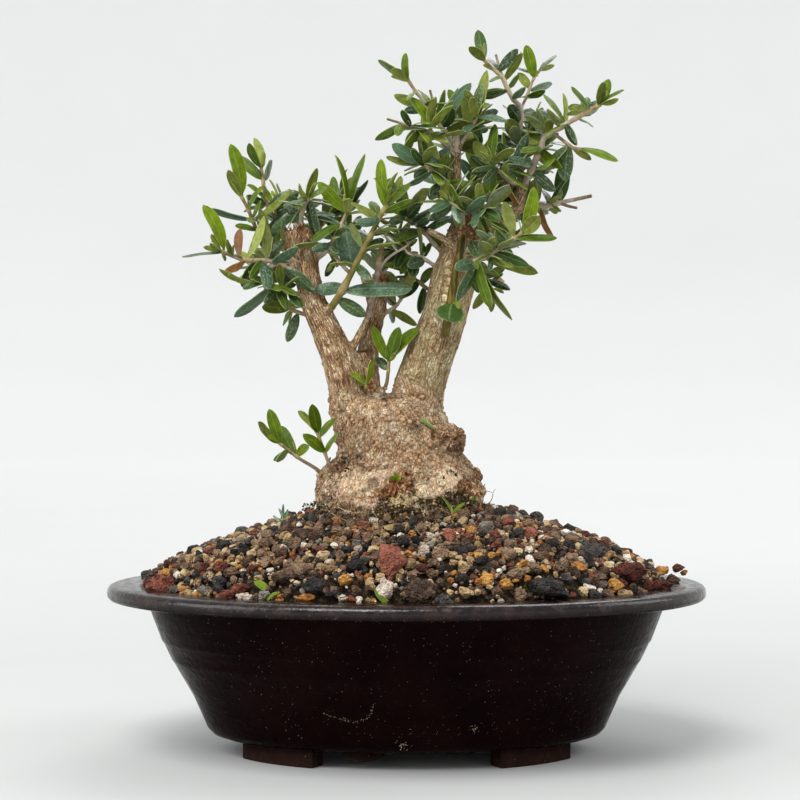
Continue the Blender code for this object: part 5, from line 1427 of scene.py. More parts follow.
def grow_leaves(wood):
    """Leaves of every shoot, each swung until it is clear of what isn't its own shoot."""
    draw = random.Random(PAIR_SEED)
    tubes = {name: stem_tubes(shoot) for name, shoot in SHOOTS.items()}
    solid = {name: [tree_of(*part) for part in made] for name, made in tubes.items()}
    leaves = {name: [] for name in SHOOTS}
    for name, shoot in SHOOTS.items():
        if shoot["pairs"]:
            wanted = paired_leaves(smooth_route(placed(shoot["stem"][1:]), 3), shoot["pairs"], draw)
        else:
            routes = (shoot["stem"][1:], *shoot["twigs"])
            wanted = (list(drawn_leaf(routes, leaf, draw)) for leaf in shoot["leaves"])
        others = [wood] + [part for other in SHOOTS if other != name for part in solid[other]]
        blades = []
        for tries in wanted:
            leaf = first_clear(tries, others, blades)
            if leaf is not None:
                leaves[name].append(leaf)
                blades.append(blade_tree(leaf))
                solid[name].append(tree_of(leaf_points(*leaf[:6]), LEAF_FACES))
    return tubes, leaves


# What a real leaf adds to its solid.
LOOK_SEED = 23
SIDE_TWIG_AGE = 0.7
BLADE_COLUMNS = 4
BLADE_STATIONS = 12
STALK_SHARE = 0.1
STALK_HALF = 0.17
BLADE_FULLNESS = (1.9, 2.5)
BLADE_THICKNESS = 0.34
TWIG_RING_SIDES = 9
TWIG_STEPS = 4
TWIG_SLIMMING = 0.9
# Ends of a twig as (share of its radius beyond it, share of its radius).
BUD_END = ((0.5, 0.9), (1.0, 0.55), (1.25, 0.15))
CUT_END = ((0.2, 1.05), (0.25, 0.85))
CUT_SHOOTS = ("shoot_right_grey",)
# How woody the shoots are, from 0 to 1, where they aren't grey brown at the foot.
TWIG_AGES = {"shoot_golden": 0.2, "shoot_crotch": 0.5, "shoot_left_tall": 0.6, "shoot_left_top": 0.6,
             "shoot_foot_left": 0.6, "shoot_foot_right": 0.6, "shoot_left_reach": 0.7,
             "shoot_tiny": 0.4, "shoot_left_under": 0.5, "shoot_left_low": 0.6,
             "shoot_notch_lower": 0.5, "shoot_right_front": 0.7}
NODE_SWELL = 0.32
WOODY_SHARE = 2.4
TINY_LEAF_CHANCE = 0.45
TINY_LEAF_LENGTHS = (3.6, 6.5)
# Kinds as (upper side from dark to light, underside from dark to light, chance of being wet, fold).
LEAF_KINDS = {
    "y": ("#4d6300", "#6d8208", "#747f2c", "#8b9344", 0.0, 0.22),
    "p": ("#63741a", "#838f36", "#7c873c", "#949b54", 0.1, 0.20),
    "g": ("#3f560d", "#61771c", "#757e3a", "#8c9252", 0.3, -0.10),
    "d": ("#1c3210", "#3b5523", "#6b7440", "#858b58", 0.8, -0.22),
    # s: dark upper sides greyed and blued, a painted sheen of the bright room on the waxy skin.
    "s": ("#2f4a31", "#587458", "#707c58", "#8a9472", 0.7, -0.15),
    "o": ("#3f5217", "#627429", "#5c6623", "#7e863c", 0.15, -0.18),
    "e": ("#213713", "#3c5424", "#6b7440", "#858b58", 0.3, -0.16),
    "r": ("#6a4630", "#bb8350", "#7a5440", "#b08a66", 0.0, 0.35),
}
look = random.Random(LOOK_SEED)


def blade_half(along):
    """Half width of a leaf as a share of its widest, from the foot of its stalk to its blunt tip."""
    blade = (along - STALK_SHARE) / (1 - STALK_SHARE)
    if blade <= 0:
        return STALK_HALF
    if blade >= 1:
        return 0.03
    fullness = BLADE_FULLNESS[0] if blade < 0.5 else BLADE_FULLNESS[1]
    return max((1 - abs(2 * blade - 1) ** fullness) ** 0.64, STALK_HALF * (1 - blade))


def shaped_sheet(columns, rows, thickness, offset, shape):
    """Points and faces of a grid whose points are moved by a function, made thick."""
    bpy.ops.mesh.primitive_grid_add(x_subdivisions=columns, y_subdivisions=rows, size=2)
    sheet = bpy.context.object
    for vert in sheet.data.vertices:
        vert.co = shape(vert.co.x, (vert.co.y + 1) / 2)
    apply_modifier(sheet, "SOLIDIFY", thickness=thickness, offset=offset)
    return taken(sheet)


def leaf_outline(across, even):
    """Place of a leaf's grid: its outline has its points closest at both ends."""
    along = (even + 0.5 - 0.5 * math.cos(math.pi * even)) / 2
    return Vector((across * blade_half(along), along, 0))


blade_points, blade_faces = shaped_sheet(BLADE_COLUMNS, BLADE_STATIONS, 1.0, -1.0, leaf_outline)
blade_widths = np.array([blade_half(along) for along in blade_points[:, 1]])
blade_across = blade_points[:, 0] / blade_widths
blade_top = blade_points[:, 2] > -0.5


def mixed(dark, light, share):
    """Linear colour between two."""
    return [between(a, b, share) for a, b in zip(linear(dark), linear(light))]


def leaf_part(leaf):
    """The modelled leaf laid along a leaf of the rule, with its own bend, twist and colours."""
    root, foot, tip, side, up, width, kind = leaf
    length = (tip - foot).length
    dark, light, under_dark, under_light, wet_chance, fold = LEAF_KINDS[kind]
    along = blade_points[:, 1]
    beyond = np.maximum(along - STALK_SHARE, 0) / (1 - STALK_SHARE)
    stalk = np.minimum(along / STALK_SHARE, 1)
    root, foot, tip, side, up = (np.array(part) for part in (root, foot, tip, side, up))
    middle = root + (foot - root) * stalk[:, None] + (tip - foot) * beyond[:, None]
    arc = np.sin(math.pi * along) ** 0.9
    bow = LEAF_BOW * look.uniform(0.7, 1.4) * length
    sway = look.uniform(-0.035, 0.035) * length
    twist = look.uniform(-0.4, 0.4) * (along - 0.45)
    across = side * np.cos(twist)[:, None] + up * np.sin(twist)[:, None]
    above = up * np.cos(twist)[:, None] - side * np.sin(twist)[:, None]
    half = width / 2
    wave = 0.05 * np.sin(along * look.uniform(9, 15) + look.uniform(0, 6)) * blade_across
    height = half * (fold * (np.abs(blade_across) ** 1.6) * blade_widths + wave * blade_widths)
    height = height + BLADE_THICKNESS * (blade_points[:, 2] + 0.5) * (1.2 - 0.4 * np.abs(blade_across))
    points = (middle + above * height[:, None] + across * (blade_points[:, 0] * half)[:, None]
              + up * (arc * bow)[:, None] + side * (arc * sway)[:, None])
    share = look.random()
    count = len(points)
    top = np.tile(mixed(dark, light, share), (count, 1))
    under = np.tile(mixed(under_dark, under_light, look.random()), (count, 1))
    blade = np.stack([along, blade_across * 0.5 + 0.5, blade_top.astype(float)], axis=1)
    wet = 1.0 if look.random() < wet_chance else 0.0
    return points, blade_faces, 1, blade, top, under, wet


def twig_part(route, widths, nodes, age, blunt=False):
    """Twig through the route's places, swollen where leaves leave it, with an end bud or a cut end."""
    fine = smooth_route(route, TWIG_STEPS)
    radii, joints = [], []
    for step, spot in enumerate(fine):
        index = min(step // TWIG_STEPS, len(widths) - 2)
        radius = between(widths[index], widths[index + 1], step / TWIG_STEPS - index)
        near = min(((spot - other).length for other in nodes), default=9.0)
        joints.append(math.exp(-(near / 0.8) ** 2))
        radii.append(radius * TWIG_SLIMMING * (1 + NODE_SWELL * math.exp(-(near / 0.9) ** 2)))
    way = (fine[-1] - fine[-2]).normalized()
    for reach, shrink in CUT_END if blunt else BUD_END:
        fine.append(fine[-1] + way * radii[-1] * 0.6 * reach)
        radii.append(widths[-1] * shrink)
        joints.append(0.0)
    points, faces = tube(fine, radii, TWIG_RING_SIDES)
    values = []
    for index, joint in enumerate(joints):
        grown = age * min(WOODY_SHARE * (1 - index / len(fine)), 1.0)
        values += [(grown, joint, float(blunt and index > len(fine) - 3))] * TWIG_RING_SIDES
    flat = np.zeros((len(points), 4))
    return np.array(points), faces, 0, np.array(values), flat, flat, 0.0


def tiny_leaves(route, leaves, cut):
    """Small young leaves at the shoot's end, where it isn't cut, and in the axils of some leaves."""
    made = []
    way = (route[-1] - route[-2]).normalized()
    cross = way.cross(Vector((0.3, 1, 0.2))).normalized()
    turn = look.uniform(0, math.pi)
    for half in () if cut else (0, math.pi):
        made.append(paired_leaf(route[-1] - way * 0.3, (way, cross, way.cross(cross)), turn + half,
                                math.radians(look.uniform(14, 30)), look.uniform(4.0, 6.5), "y"))
    for root, foot, tip, side, up, width, kind in leaves:
        if look.random() < TINY_LEAF_CHANCE:
            grow = ((tip - foot).normalized() + side * look.uniform(-0.9, 0.9)
                    + up * look.uniform(-0.6, 0.9)).normalized()
            cross = grow.cross(Vector((0.2, 0.3, 1))).normalized()
            made.append(paired_leaf(root, (grow, cross, grow.cross(cross)), look.uniform(0, 6.3),
                                    math.radians(look.uniform(5, 35)), look.uniform(*TINY_LEAF_LENGTHS),
                                    "y" if kind in "yp" else look.choice("gdsg")))
    return made


# Leaf skin: waxy and dark green above with a pale sunken midrib and faint side veins; below it is
# felted with silvery scales, so matt and grey. Wet leaves carry a clear film with beads of water, whose
# glints are painted on as pale grey-green spots.
leaf_skin, tree, shader = new_material("olive_leaf")
spot = node("TexCoord", out="Object")
blade = node("SeparateXYZ", node("Attribute blade", out="Vector"))
wet = node("Attribute wet", out="Fac")
top, under = (node(f"Attribute {side}", out="Color") for side in ("top", "under"))
upper = node("Math GREATER_THAN", blade.node.outputs["Z"], 0.5)
off_rib = node("Math ABSOLUTE", node("Math SUBTRACT", blade.node.outputs["Y"], 0.5))
rib = node("MapRange", off_rib, 0.025, 0.07, 1, 0)
vein = node("Math MULTIPLY_ADD", off_rib, -16, node("Math MULTIPLY", blade, 26))
vein = node("MapRange", node("Math PINGPONG", vein, 1), 0, 0.14, 0.35, 0)
mottle = node("MapRange", node("TexNoise", spot, 500, 4), 0.3, 0.7, 0.68, 1.25)
colour = node("VectorMath SCALE", node("Mix RGBA", upper, under, top), mottle)
pale = node("Math MULTIPLY", node("Math MAXIMUM", rib, vein), 0.5)
pale = node("Math MAXIMUM", pale, node("MapRange", off_rib, 0.43, 0.5, 0, 0.8))
colour = node("Mix RGBA", pale, colour, node("Mix RGBA", 0.28, colour, "#c3cd8f"))
film = node("Math MULTIPLY", upper, wet)
# Painted highlight: pale grey-green glints of the water beads on wet upper sides.
drop_glints = node("MapRange", node("TexNoise", spot, 1300, 3), 0.56, 0.68, 0, 0.4)
colour = node("Mix RGBA", node("Math MULTIPLY", drop_glints, film), colour, "#a3b5a2")
rough = node("Math MULTIPLY_ADD", film, -0.16, node("MapRange", upper, 0, 1, 0.72, 0.46))
bead = node("MapRange", node("TexVoronoi", spot, 700), 0.1, 0.3, 1, 0)
bumps = node("Bump", 0.6, 0.0003, Height=node("Math MULTIPLY", bead, film))
bumps = node("Bump", 0.6, 0.0004, Height=rib, Normal=bumps, invert=True)
feed(shader, Base_Color=colour, Roughness=rough, Coat_Weight=node("Math MULTIPLY", film, 0.2),
     Specular_IOR_Level=node("MapRange", film, 0, 1, 0.12, 0.32), Subsurface_Weight=0.04,
     Subsurface_Scale=0.6, Subsurface_Radius=(0.0012, 0.0022, 0.0006),
     Normal=node("Bump", 0.5, 0.0002, Height=mottle, Normal=bumps))

# Twig bark: grey tan and fissured where it is old, smooth golden brown and then green to the tip.
twig_bark, tree, shader = new_material("twig_bark")
spot = node("TexCoord", out="Object")
grown = node("SeparateXYZ", node("Attribute blade", out="Vector"))
joint, cut, grown = (grown.node.outputs[axis] for axis in "YZX")
flecks = node("TexNoise", spot, 700, 5)
shade = node("Math ADD", node("MapRange", flecks, 0.3, 0.7, -0.2, 0.2), grown)
colour = node("ValToRGB", shade, ramp="0 #646b27, 0.22 #6f6122, 0.5 #7d6a4b, 0.7 #8e7c69, 0.9 #ac9d90")
colour = node("Mix RGBA", node("Math MULTIPLY", joint, 0.55), colour, "#bda878")
colour = node("Mix RGBA", cut, colour, "#b3957a")
streaks = node("MapRange", node("TexNoise", spot, 260, 6), 0.35, 0.65, 0.72, 1.2)
feed(shader, Base_Color=node("VectorMath SCALE", colour, streaks), Roughness=0.66,
     Specular_IOR_Level=0.35, Normal=node("Bump", 0.7, 0.0003, Height=flecks))

# Parts of the crown that are dense, as (column, row, half width, half height) in the front view.
DENSE_PARTS = rows_of("""
272 232 34 36, 310 240 34 46, 352 232 30 44, 395 240 30 42, 300 290 36 22, 430 130 34 34,
430 175 34 34, 480 120 34 44, 500 165 36 38, 540 140 32 34, 480 205 44 28, 545 195 18 24,
500 255 30 26, 390 285 26 18, 555 165 22 26
""")
FILL_TRIES = 9
FILL_PER_LEAF = 2
FILL_LENGTHS = (7.5, 13.5)


def in_crown(spot):
    """Whether a point is seen in a dense part of the crown."""
    column, row = seen_at(spot)
    return any(math.hypot((column - middle) / wide, (row - level) / high) < 1
               for middle, level, wide, high in DENSE_PARTS)


def fill_leaves(tubes, leaves):
    """Further leaves in the dense parts of the crown, clear of all the others."""
    others = [wood_tree]
    for name in SHOOTS:
        others += [tree_of(*tube) for tube in tubes[name]]
        others += [blade_tree(leaf) for leaf in leaves[name]]
    added = {name: [] for name in SHOOTS}
    for name in SHOOTS:
        for root, foot, tip, side, up, width, kind in leaves[name]:
            for _ in range(FILL_PER_LEAF):
                length = look.uniform(*FILL_LENGTHS)
                new_kind = look.choice("dggsgo") if kind not in "yp" else look.choice("yg")
                for _ in range(FILL_TRIES):
                    way = (tip - foot).normalized()
                    axis = Vector((0.3, 0.1, 1)).normalized()
                    turn = Matrix.Rotation(look.uniform(0.8, 5.5), 3, axis)
                    way = (turn @ way + Vector((0, 0, look.uniform(-0.3, 0.7)))).normalized()
                    across = Vector((look.uniform(-0.5, 0.5), look.uniform(-0.5, 0.5), 1))
                    across = way.cross(across).normalized()
                    start = root + way * PAIR_STALK
                    made = (root, start, start + way * length, across, across.cross(way),
                            length * LEAF_RATIO, new_kind)
                    if not (in_crown(made[2]) and in_crown(start)):
                        continue
                    blade = blade_tree(made)
                    if not any(blade.overlap(other) for other in others):
                        others.append(blade)
                        added[name].append(made)
                        break
    return added


SHOOT_ATTRIBUTES = (("blade", "FLOAT_VECTOR"), ("top", "FLOAT_COLOR"), ("under", "FLOAT_COLOR"),
                    ("wet", "FLOAT"))
tubes, grown_leaves = grow_leaves(wood_tree)
added = fill_leaves(tubes, grown_leaves)
for name, shoot in SHOOTS.items():
    leaves, cut = grown_leaves[name], name in CUT_SHOOTS
    stem, roots = placed(shoot["stem"]), [leaf[0] for leaf in leaves]
    thick, thin = shoot["radii"]
    widths = [thick, *tapered(thick, thin, len(stem) - 1)]
    parts = [twig_part(stem, widths, roots, TWIG_AGES.get(name, 1.0), cut)]
    for twig in shoot["twigs"]:
        widths = tapered(thin, thin * (1 - TWIG_TAPER), len(twig))
        parts.append(twig_part(placed(twig), widths, roots, SIDE_TWIG_AGE, True))
    parts += [leaf_part(leaf) for leaf in leaves + added[name] + tiny_leaves(stem, leaves, cut)]
    made = mesh_piece(name + "_grown", parts, (twig_bark, leaf_skin), SHOOT_ATTRIBUTES, smooth=60)
    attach(made, "root")
    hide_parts(name)

# Climbing shoot
# A young golden shoot that was laid against the right stem and has half grown into it. Its bark is
# smooth and olive gold, quite unlike the stem's.
SHOOT_STAND = 0.5
SHOOT_SHIFT = -2.0
SHOOT_WIDENING = 1.25
rows = rows_by_name(LIMBS)["climbing_shoot"]
route = [place(column + SHOOT_SHIFT, row, depth - SHOOT_STAND) for column, row, depth, _ in rows]
young_bark, tree, shader = new_material("young_olive_bark")
spot = node("TexCoord", out="Object")
streaks = node("Mapping", spot, Scale=(1, 1, 0.2))
streaks = node("TexNoise", streaks, 700, 5)
colour = node("ValToRGB", streaks, ramp="0.36 #342b04, 0.52 #54470c, 0.66 #7b6d2f")
bumps = node("Bump", 0.5, 0.0003, Height=streaks)
feed(shader, Base_Color=colour, Normal=bumps, Roughness=0.45, Specular_IOR_Level=0.25)
climber = mesh_piece("climbing_shoot_bark",
                     [twig_part(route, [row[3] * SHOOT_WIDENING for row in rows], [], 0.3)],
                     (young_bark,), SHOOT_ATTRIBUTES[:1], smooth=60)
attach(climber, "root")

# Bare twigs
# Dead and cut twigs that carry no leaves: a peg on the left stem, forked twigs behind the golden shoot
# and short stubs. They are grey and dry, and pale where they were cut.
# Twigs as (radius at the foot and at the end in mm, how woody, places (column, row, depth)).
BARE_TWIGS = lines_of("""
2.1 1.1 1.1, 456 153 -0.8, 456.5 144 -0.8, 457 130 -0.8
1.5 1.05 0.75, 368 317 -5, 371 303 -5.2, 376 280 -5.2, 379 264 -5, 382 247 -5
0.6 0.45 1.1, 379 270 -5, 386 260 -6, 395 253 -7, 404 248 -8, 411 242 -9
0.45 0.35 1, 398 252 -7.4, 391 243 -7.5, 383 233 -8, 378 226 -8
0.4 0.3 0.9, 404 248 -8, 408 253 -9, 414 256 -10
0.6 0.5 0.8, 300 262 -7, 293 259 -9, 288 252 -10
0.6 0.5 1, 478 206 -3, 484 200 -6, 490 192 -8
0.5 0.4 0.9, 521 172 7, 527 166 5, 530 158 4
""")
bare_twigs = [twig_part(placed(spots), tapered(foot_radius, end_radius, len(spots)),
                        [place(*spots[-2])], woody, True)
              for (foot_radius, end_radius, woody), *spots in BARE_TWIGS]
stubs = mesh_piece("bare_twigs", bare_twigs, (twig_bark,), SHOOT_ATTRIBUTES[:1], smooth=60)
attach(stubs, "root")

# Flakes and splinters
# Dead bark and torn wood that stand off at the wounds, along the ledge over the bare wood, on the burl
# and at the sawn tops, red brown where they are fresh and straw coloured where they have weathered.
FLAKE_SEED = 12
# Places as (column, row, half width, half height, count, lengths, tones, slant) in the front view.
FLAKE_PLACES = rows_of("""
400 486 13 9 80 1.2 3.6 0 0.75 0.35, 388 494 10 6 30 1 3 0 0.8 0.6, 400 501 13 5 60 1 2.6 0.9 1.1 3,
352 467 20 3 36 0.6 1.6 0.1 0.6 1, 345 486 20 12 60 0.6 2 0.5 0.9 0.35,
352 498 22 3 30 0.8 2.2 0.2 0.8 4, 452 438 12 11 40 0.6 1.8 0.3 0.85 1.5,
470 488 9 9 40 0.8 2.2 0.1 0.85 0.5, 477 496 6 8 24 0.8 2.4 0.5 0.85 0.35,
300 233 12 4 46 0.8 2.4 0.2 0.7 0.35, 381 277 8 4 40 0.9 2.6 0.1 0.6 0.35,
472 226 16 14 60 0.8 2.2 0.1 0.5 1, 337 340 14 40 40 0.6 1.6 0.3 0.8 0.6,
372 340 7 40 40 0.6 1.8 0.2 0.7 0.35, 367 386 8 8 24 0.8 2 0 0.4 0.6,
395 440 60 40 60 0.4 1 0.3 0.8 1
""")
FLAKE_LEAN = (0.05, 0.45)
FLAKE_WIDTHS = (0.2, 0.55)
# A flake farther from the wood than this would hang in the air.
FLAKE_REACH = 0.5
draw = random.Random(FLAKE_SEED)


def seen_in(column, row, wide, high):
    """Random place of the tree or the heap in an oval of the front view, and its normal."""
    turn, out = draw.uniform(0, 2 * math.pi), math.sqrt(draw.random())
    return seen_spot(column + wide * out * math.cos(turn), row + high * out * math.sin(turn))


def splinter(across, along):
    """Place of a splinter's grid: a strip that narrows and bends."""
    return Vector((across / 2 * (1.1 - 0.9 * along ** 2), along, 0.12 * math.sin(3 * along)))


strip_points, strip_faces = shaped_sheet(1, 4, 0.12, 0, splinter)
flakes = []
for column, row, wide, high, count, short, long, dark, light, slant in FLAKE_PLACES:
    for _ in range(int(count)):
        spot, normal = seen_in(column, row, wide, high)
        if bark_tree.find_nearest(spot)[3] > FLAKE_REACH:
            continue
        down = Vector((draw.uniform(-slant, slant), 0, draw.choice((-1, 1))))
        way = (down - normal * down.dot(normal)).normalized()
        way = (way + normal * draw.uniform(*FLAKE_LEAN)).normalized()
        side = way.cross(normal).normalized()
        wide_way, long_way = side * draw.uniform(*FLAKE_WIDTHS), way * draw.uniform(short, long)
        flakes.append((strip_points @ np.array([wide_way, long_way, side.cross(way)])
                       + np.array(spot - normal * 0.1), strip_faces, 0, draw.uniform(dark, light)))
torn_wood, tree, shader = new_material("torn_bark_and_wood")
tone = node("Attribute tone", out="Fac")
spot = node("TexCoord", out="Object")
fibres = node("TexNoise", spot, 1600, 4)
tone = node("Math MULTIPLY_ADD", fibres, 0.3, tone)
tone = node("Math SUBTRACT", tone, 0.15)
colour = node("ValToRGB", tone, ramp="0 #341c12, 0.3 #7c4526, 0.5 #a8744a, 0.7 #cba687, "
                                     "0.85 #e0c8a4, 1 #a99b62")
bumps = node("Bump", 0.8, 0.0003, Height=fibres)
feed(shader, Base_Color=colour, Normal=bumps, Roughness=0.85, Specular_IOR_Level=0.2)
splinters = mesh_piece("flakes_and_splinters", flakes, (torn_wood,), (("tone", "FLOAT"),), smooth=40)
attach(splinters, "root")

# Soil and moss on the foot
# Dust, crumbs and small cushions of moss lie where the damp soil meets the wood, most of all in front
# and right of the wound. The crumbs are the gravel's own fines; the moss is tufts of pointed leaves.
FOOT_SEED = 31
# Places as (column, row, half width, half height, moss tufts, crumbs) in the front view.
MOSS_PLACES = rows_of("""
432 504 20 6 70 40, 455 500 20 9 90 50, 395 511 26 6 70 60, 318 508 16 7 40 40, 384 505 8 9 30 24,
470 508 20 7 70 40, 405 520 50 8 90 60, 370 530 40 9 40 30, 455 522 34 9 70 40, 546 586 26 12 90 10,
440 540 40 10 40 30, 300 522 26 8 30 20, 500 530 30 10 40 30, 445 472 16 6 6 6, 345 470 10 10 0 14,
402 492 14 8 4 16
""")
ROUND_TUFTS = 300
ROUND_CRUMBS = 260
TUFT_BLADES = 7
TUFT_SHAPES = 5
draw = random.Random(FOOT_SEED)


def tuft_shape():
    """Cushion of a few pointed leaves that spread from one foot."""
    points, faces = [], []
    for _ in range(TUFT_BLADES):
        turn, lean = draw.uniform(0, 2 * math.pi), draw.uniform(0.1, 1.2)
        way = Vector((math.cos(turn) * math.sin(lean), math.sin(turn) * math.sin(lean), math.cos(lean)))
        side = way.cross(Vector((0.2, 0.3, 1))).normalized() * 0.17
        base = Vector((draw.uniform(-0.3, 0.3), draw.uniform(-0.3, 0.3), -0.2))
        start = len(points)
        points += [base - side, base + side, base + way * draw.uniform(0.8, 1.4),
                   base + way * 0.3 + side.cross(way)]
        faces += [(start, start + 1, start + 2), (start, start + 2, start + 3),
                  (start + 1, start + 3, start + 2)]
    return np.array(points), np.array(faces)


tufts = [tuft_shape() for _ in range(TUFT_SHAPES)]
moss, crumb_parts = [], []


def upright(normal):
    """Turn that stands a tuft nearly upright on a slope."""
    lean = (normal + Vector((0, 0, 0.8))).normalized()
    spin = Matrix.Rotation(draw.uniform(0, 6.3), 3, "Z").to_quaternion()
    return lean.to_track_quat("Z", "Y") @ spin


def add_tuft(spot, normal):
    """Adds a tuft of moss."""
    size = [draw.uniform(1.0, 2.6)] * 3
    moss.append((*grain_copy(draw.choice(tufts), spot, size, upright(normal)), 0, draw.random()))


def add_crumb(spot, normal):
    """Adds a crumb of clay."""
    size = [draw.uniform(0.6, 1.7) for _ in range(3)]
    add_grain(crumb_parts, fine_shapes, spot + normal * 0.2, size)


for *oval, tuft_count, crumb_count in MOSS_PLACES:
    for add, count in ((add_tuft, tuft_count), (add_crumb, crumb_count)):
        for _ in range(int(count)):
            add(*seen_in(*oval))
for add, count in ((add_tuft, ROUND_TUFTS), (add_crumb, ROUND_CRUMBS)):
    for _ in range(count):
        turn = draw.uniform(0, 2 * math.pi)
        loose = noise.noise(Vector((math.cos(turn), math.sin(turn), 0)) * 2.5) > 0
        out = 1 + abs(draw.gauss(0, 0.13 if loose else 0.05))
        x = TRUNK_X + SOIL_LINE_AXES[0] * out * math.cos(turn)
        y = SOIL_LINE_AXES[1] * out * math.sin(turn)
        add(Vector((x, y, mound_height(x, y) + draw.uniform(-0.5, 0.8))), mound_normal(x, y))
moss_green, tree, shader = new_material("damp_moss")
tone = node("Attribute tone", out="Fac")
spot = node("TexCoord", out="Object")
speckle = node("TexNoise", spot, 900, 3)
tone = node("Math MULTIPLY_ADD", speckle, 0.8, tone)
tone = node("Math MULTIPLY", tone, 0.55)
colour = node("ValToRGB", tone, ramp="0.2 #1d1a10, 0.5 #3c3719, 0.75 #62602a, 0.95 #8d8a45")
feed(shader, Base_Color=colour, Roughness=0.9, Specular_IOR_Level=0.2)
cushions = mesh_piece("moss", moss, (moss_green,), (("tone", "FLOAT"),), smooth=80)


def toned(name, roughness, shine, ramp):
    """Plain material in which each part has its own tone."""
    global tree
    made, tree, shader = new_material(name)
    colour = node("ValToRGB", node("Attribute tone", out="Fac"), ramp=ramp)
    feed(shader, Base_Color=colour, Roughness=roughness, Specular_IOR_Level=shine)
    return made


dust = toned("foot_crumbs", 0.95, 0.2, "0 #231c15, 0.45 #4a3a2a, 0.75 #7d6345, 0.9 #a98c63, 1 #cdbb9c")
crumb_heap = mesh_piece("foot_crumbs", crumb_parts, (dust,), (("tone", "FLOAT"),), smooth=30)
for made in (cushions, crumb_heap):
    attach(made, "root")

# Fine roots and threads
# Thin dark roots stand out of the soil right of the base, pale root hairs run over the gravel in front
# of it, and a few dry needles lie right of it.
# Routes in the front view as (radius in millimetres, tone from 0 to 1, places (column, row, lift)).
THREADS = lines_of("""
0.1 0.8, 330 512 1, 338 520 1, 350 524 0.6, 362 531 0.6
0.12 0.9, 338 507 0.5, 345 510 1, 352 511 1, 359 513 0.5
0.09 0.7, 372 512 0.6, 378 522 0.8, 377 533 0.6, 386 543 0.6
0.1 0.8, 400 515 0.6, 412 524 1, 420 536 0.6, 434 540 0.6
0.09 0.7, 436 508 0.6, 448 516 1, 463 518 0.6, 470 527 0.6
0.25 0.35, 524 531 1, 536 536 1.5, 551 539 1
0.25 0.3, 538 543 1, 552 535 1.5, 563 532 1
0.22 0.4, 505 521 1, 516 528 1.5, 530 529 1
""")
# Roots that stand free at the right end of the base, with a depth in place of the lift.
FREE_ROOTS = lines_of("""
0.3 0.3, 474 497 -2, 480 492 -3, 483 488 -3, 485 484 -4
0.22 0.4, 474 494 -2, 481 491 -3, 487 491 -3, 492 492.5 -4
0.2 0.35, 484 506 -3, 490 502 -3, 492.5 497 -3, 493 493 -3, 495.5 489 -3
0.16 0.3, 480 492 -3, 482 487 -4, 481 484 -5
""")


def lifted(column, row, lift):
    """Point off the tree or the heap at a column and row of the front view."""
    spot, normal = seen_spot(column, row)
    return spot + (normal + Vector((0, -0.3, 0.3))) * lift


threads = []
for rows, put in ((THREADS, lifted), (FREE_ROOTS, place)):
    for (radius, tone), *spots in rows:
        fine = smooth_route([put(*spot) for spot in spots], 4)
        widths = [radius * (1 - 0.6 * step / len(fine)) for step in range(len(fine))]
        points, faces = tube(fine, widths, 5)
        threads.append((np.array(points), faces, 0, tone))
rootlets = toned("fine_roots", 0.75, 0.3, "0 #4a3524, 0.35 #7a4a30, 0.7 #a08a6c, 1 #ded2bb")
roots = mesh_piece("fine_roots", threads, (rootlets,), (("tone", "FLOAT"),), smooth=60)
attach(roots, "root")

# Seedlings and fallen leaves
# Weeds that came up by themselves: one bright seedling in front of the base, a grey one at the left and
# a green bud in the wound. Three olive leaves have dropped on the gravel.
# Leaves as (foot column and row, tip column and row, lift of foot and tip, width in mm, kind).
LOOSE_LEAVES = rows_of("""
452 516 441 503 0.3 2.5 1.3 y, 452 516 464 509 0.3 2.5 1.4 y, 452 517 455 511 0.3 1.5 0.9 y,
452 517 450 510 0.3 1.5 0.8 p, 434 430 416 418 0.3 1.6 1.5 g, 473 503 475 497 0.3 1 1.2 y,
473 503 471 498 0.3 1 1 y, 329 464 332 458 0.3 0.8 1 o, 285 524 281 516 0.2 3 1.1 s,
286 524 290 517 0.2 3 1.1 s, 285 524 286 513 0.2 3.5 1 s, 290 526 297 521 0.2 2.5 1 s,
281 526 275 522 0.2 2.5 1 s, 396 480 391 475 0.3 1.6 1.6 y, 397 480 403 475 0.3 1.6 1.7 y,
397 480 397 471 0.3 1.4 1.4 g, 255 583 271 593 0.8 0.9 2.6 y, 267 604 280 595 0.8 1 2.3 y,
374 590 387 605 1.2 0.8 2.4 y
""")
parts = []
for foot_column, foot_row, tip_column, tip_row, foot_lift, tip_lift, width, kind in LOOSE_LEAVES:
    foot, normal = seen_spot(foot_column, foot_row)
    tip, _ = seen_spot(tip_column, tip_row)
    foot += normal * foot_lift
    tip += normal * tip_lift
    way = (tip - foot).normalized()
    side = way.cross(normal).normalized()
    parts.append(leaf_part((foot, foot + way * 0.3, tip, side, side.cross(way), width, kind)))
loose = mesh_piece("seedlings_and_fallen_leaves", parts, (twig_bark, leaf_skin), SHOOT_ATTRIBUTES,
                   smooth=60)
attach(loose, "root")

# Dried grit
# Specks of lime and clay dust that dried on the wall after watering, thickest in a curved row at the
# front, with larger crumbs near the lower edge. Each is 0.1 to 0.6 mm across and stands in the plastic.
GRIT_SEED = 77
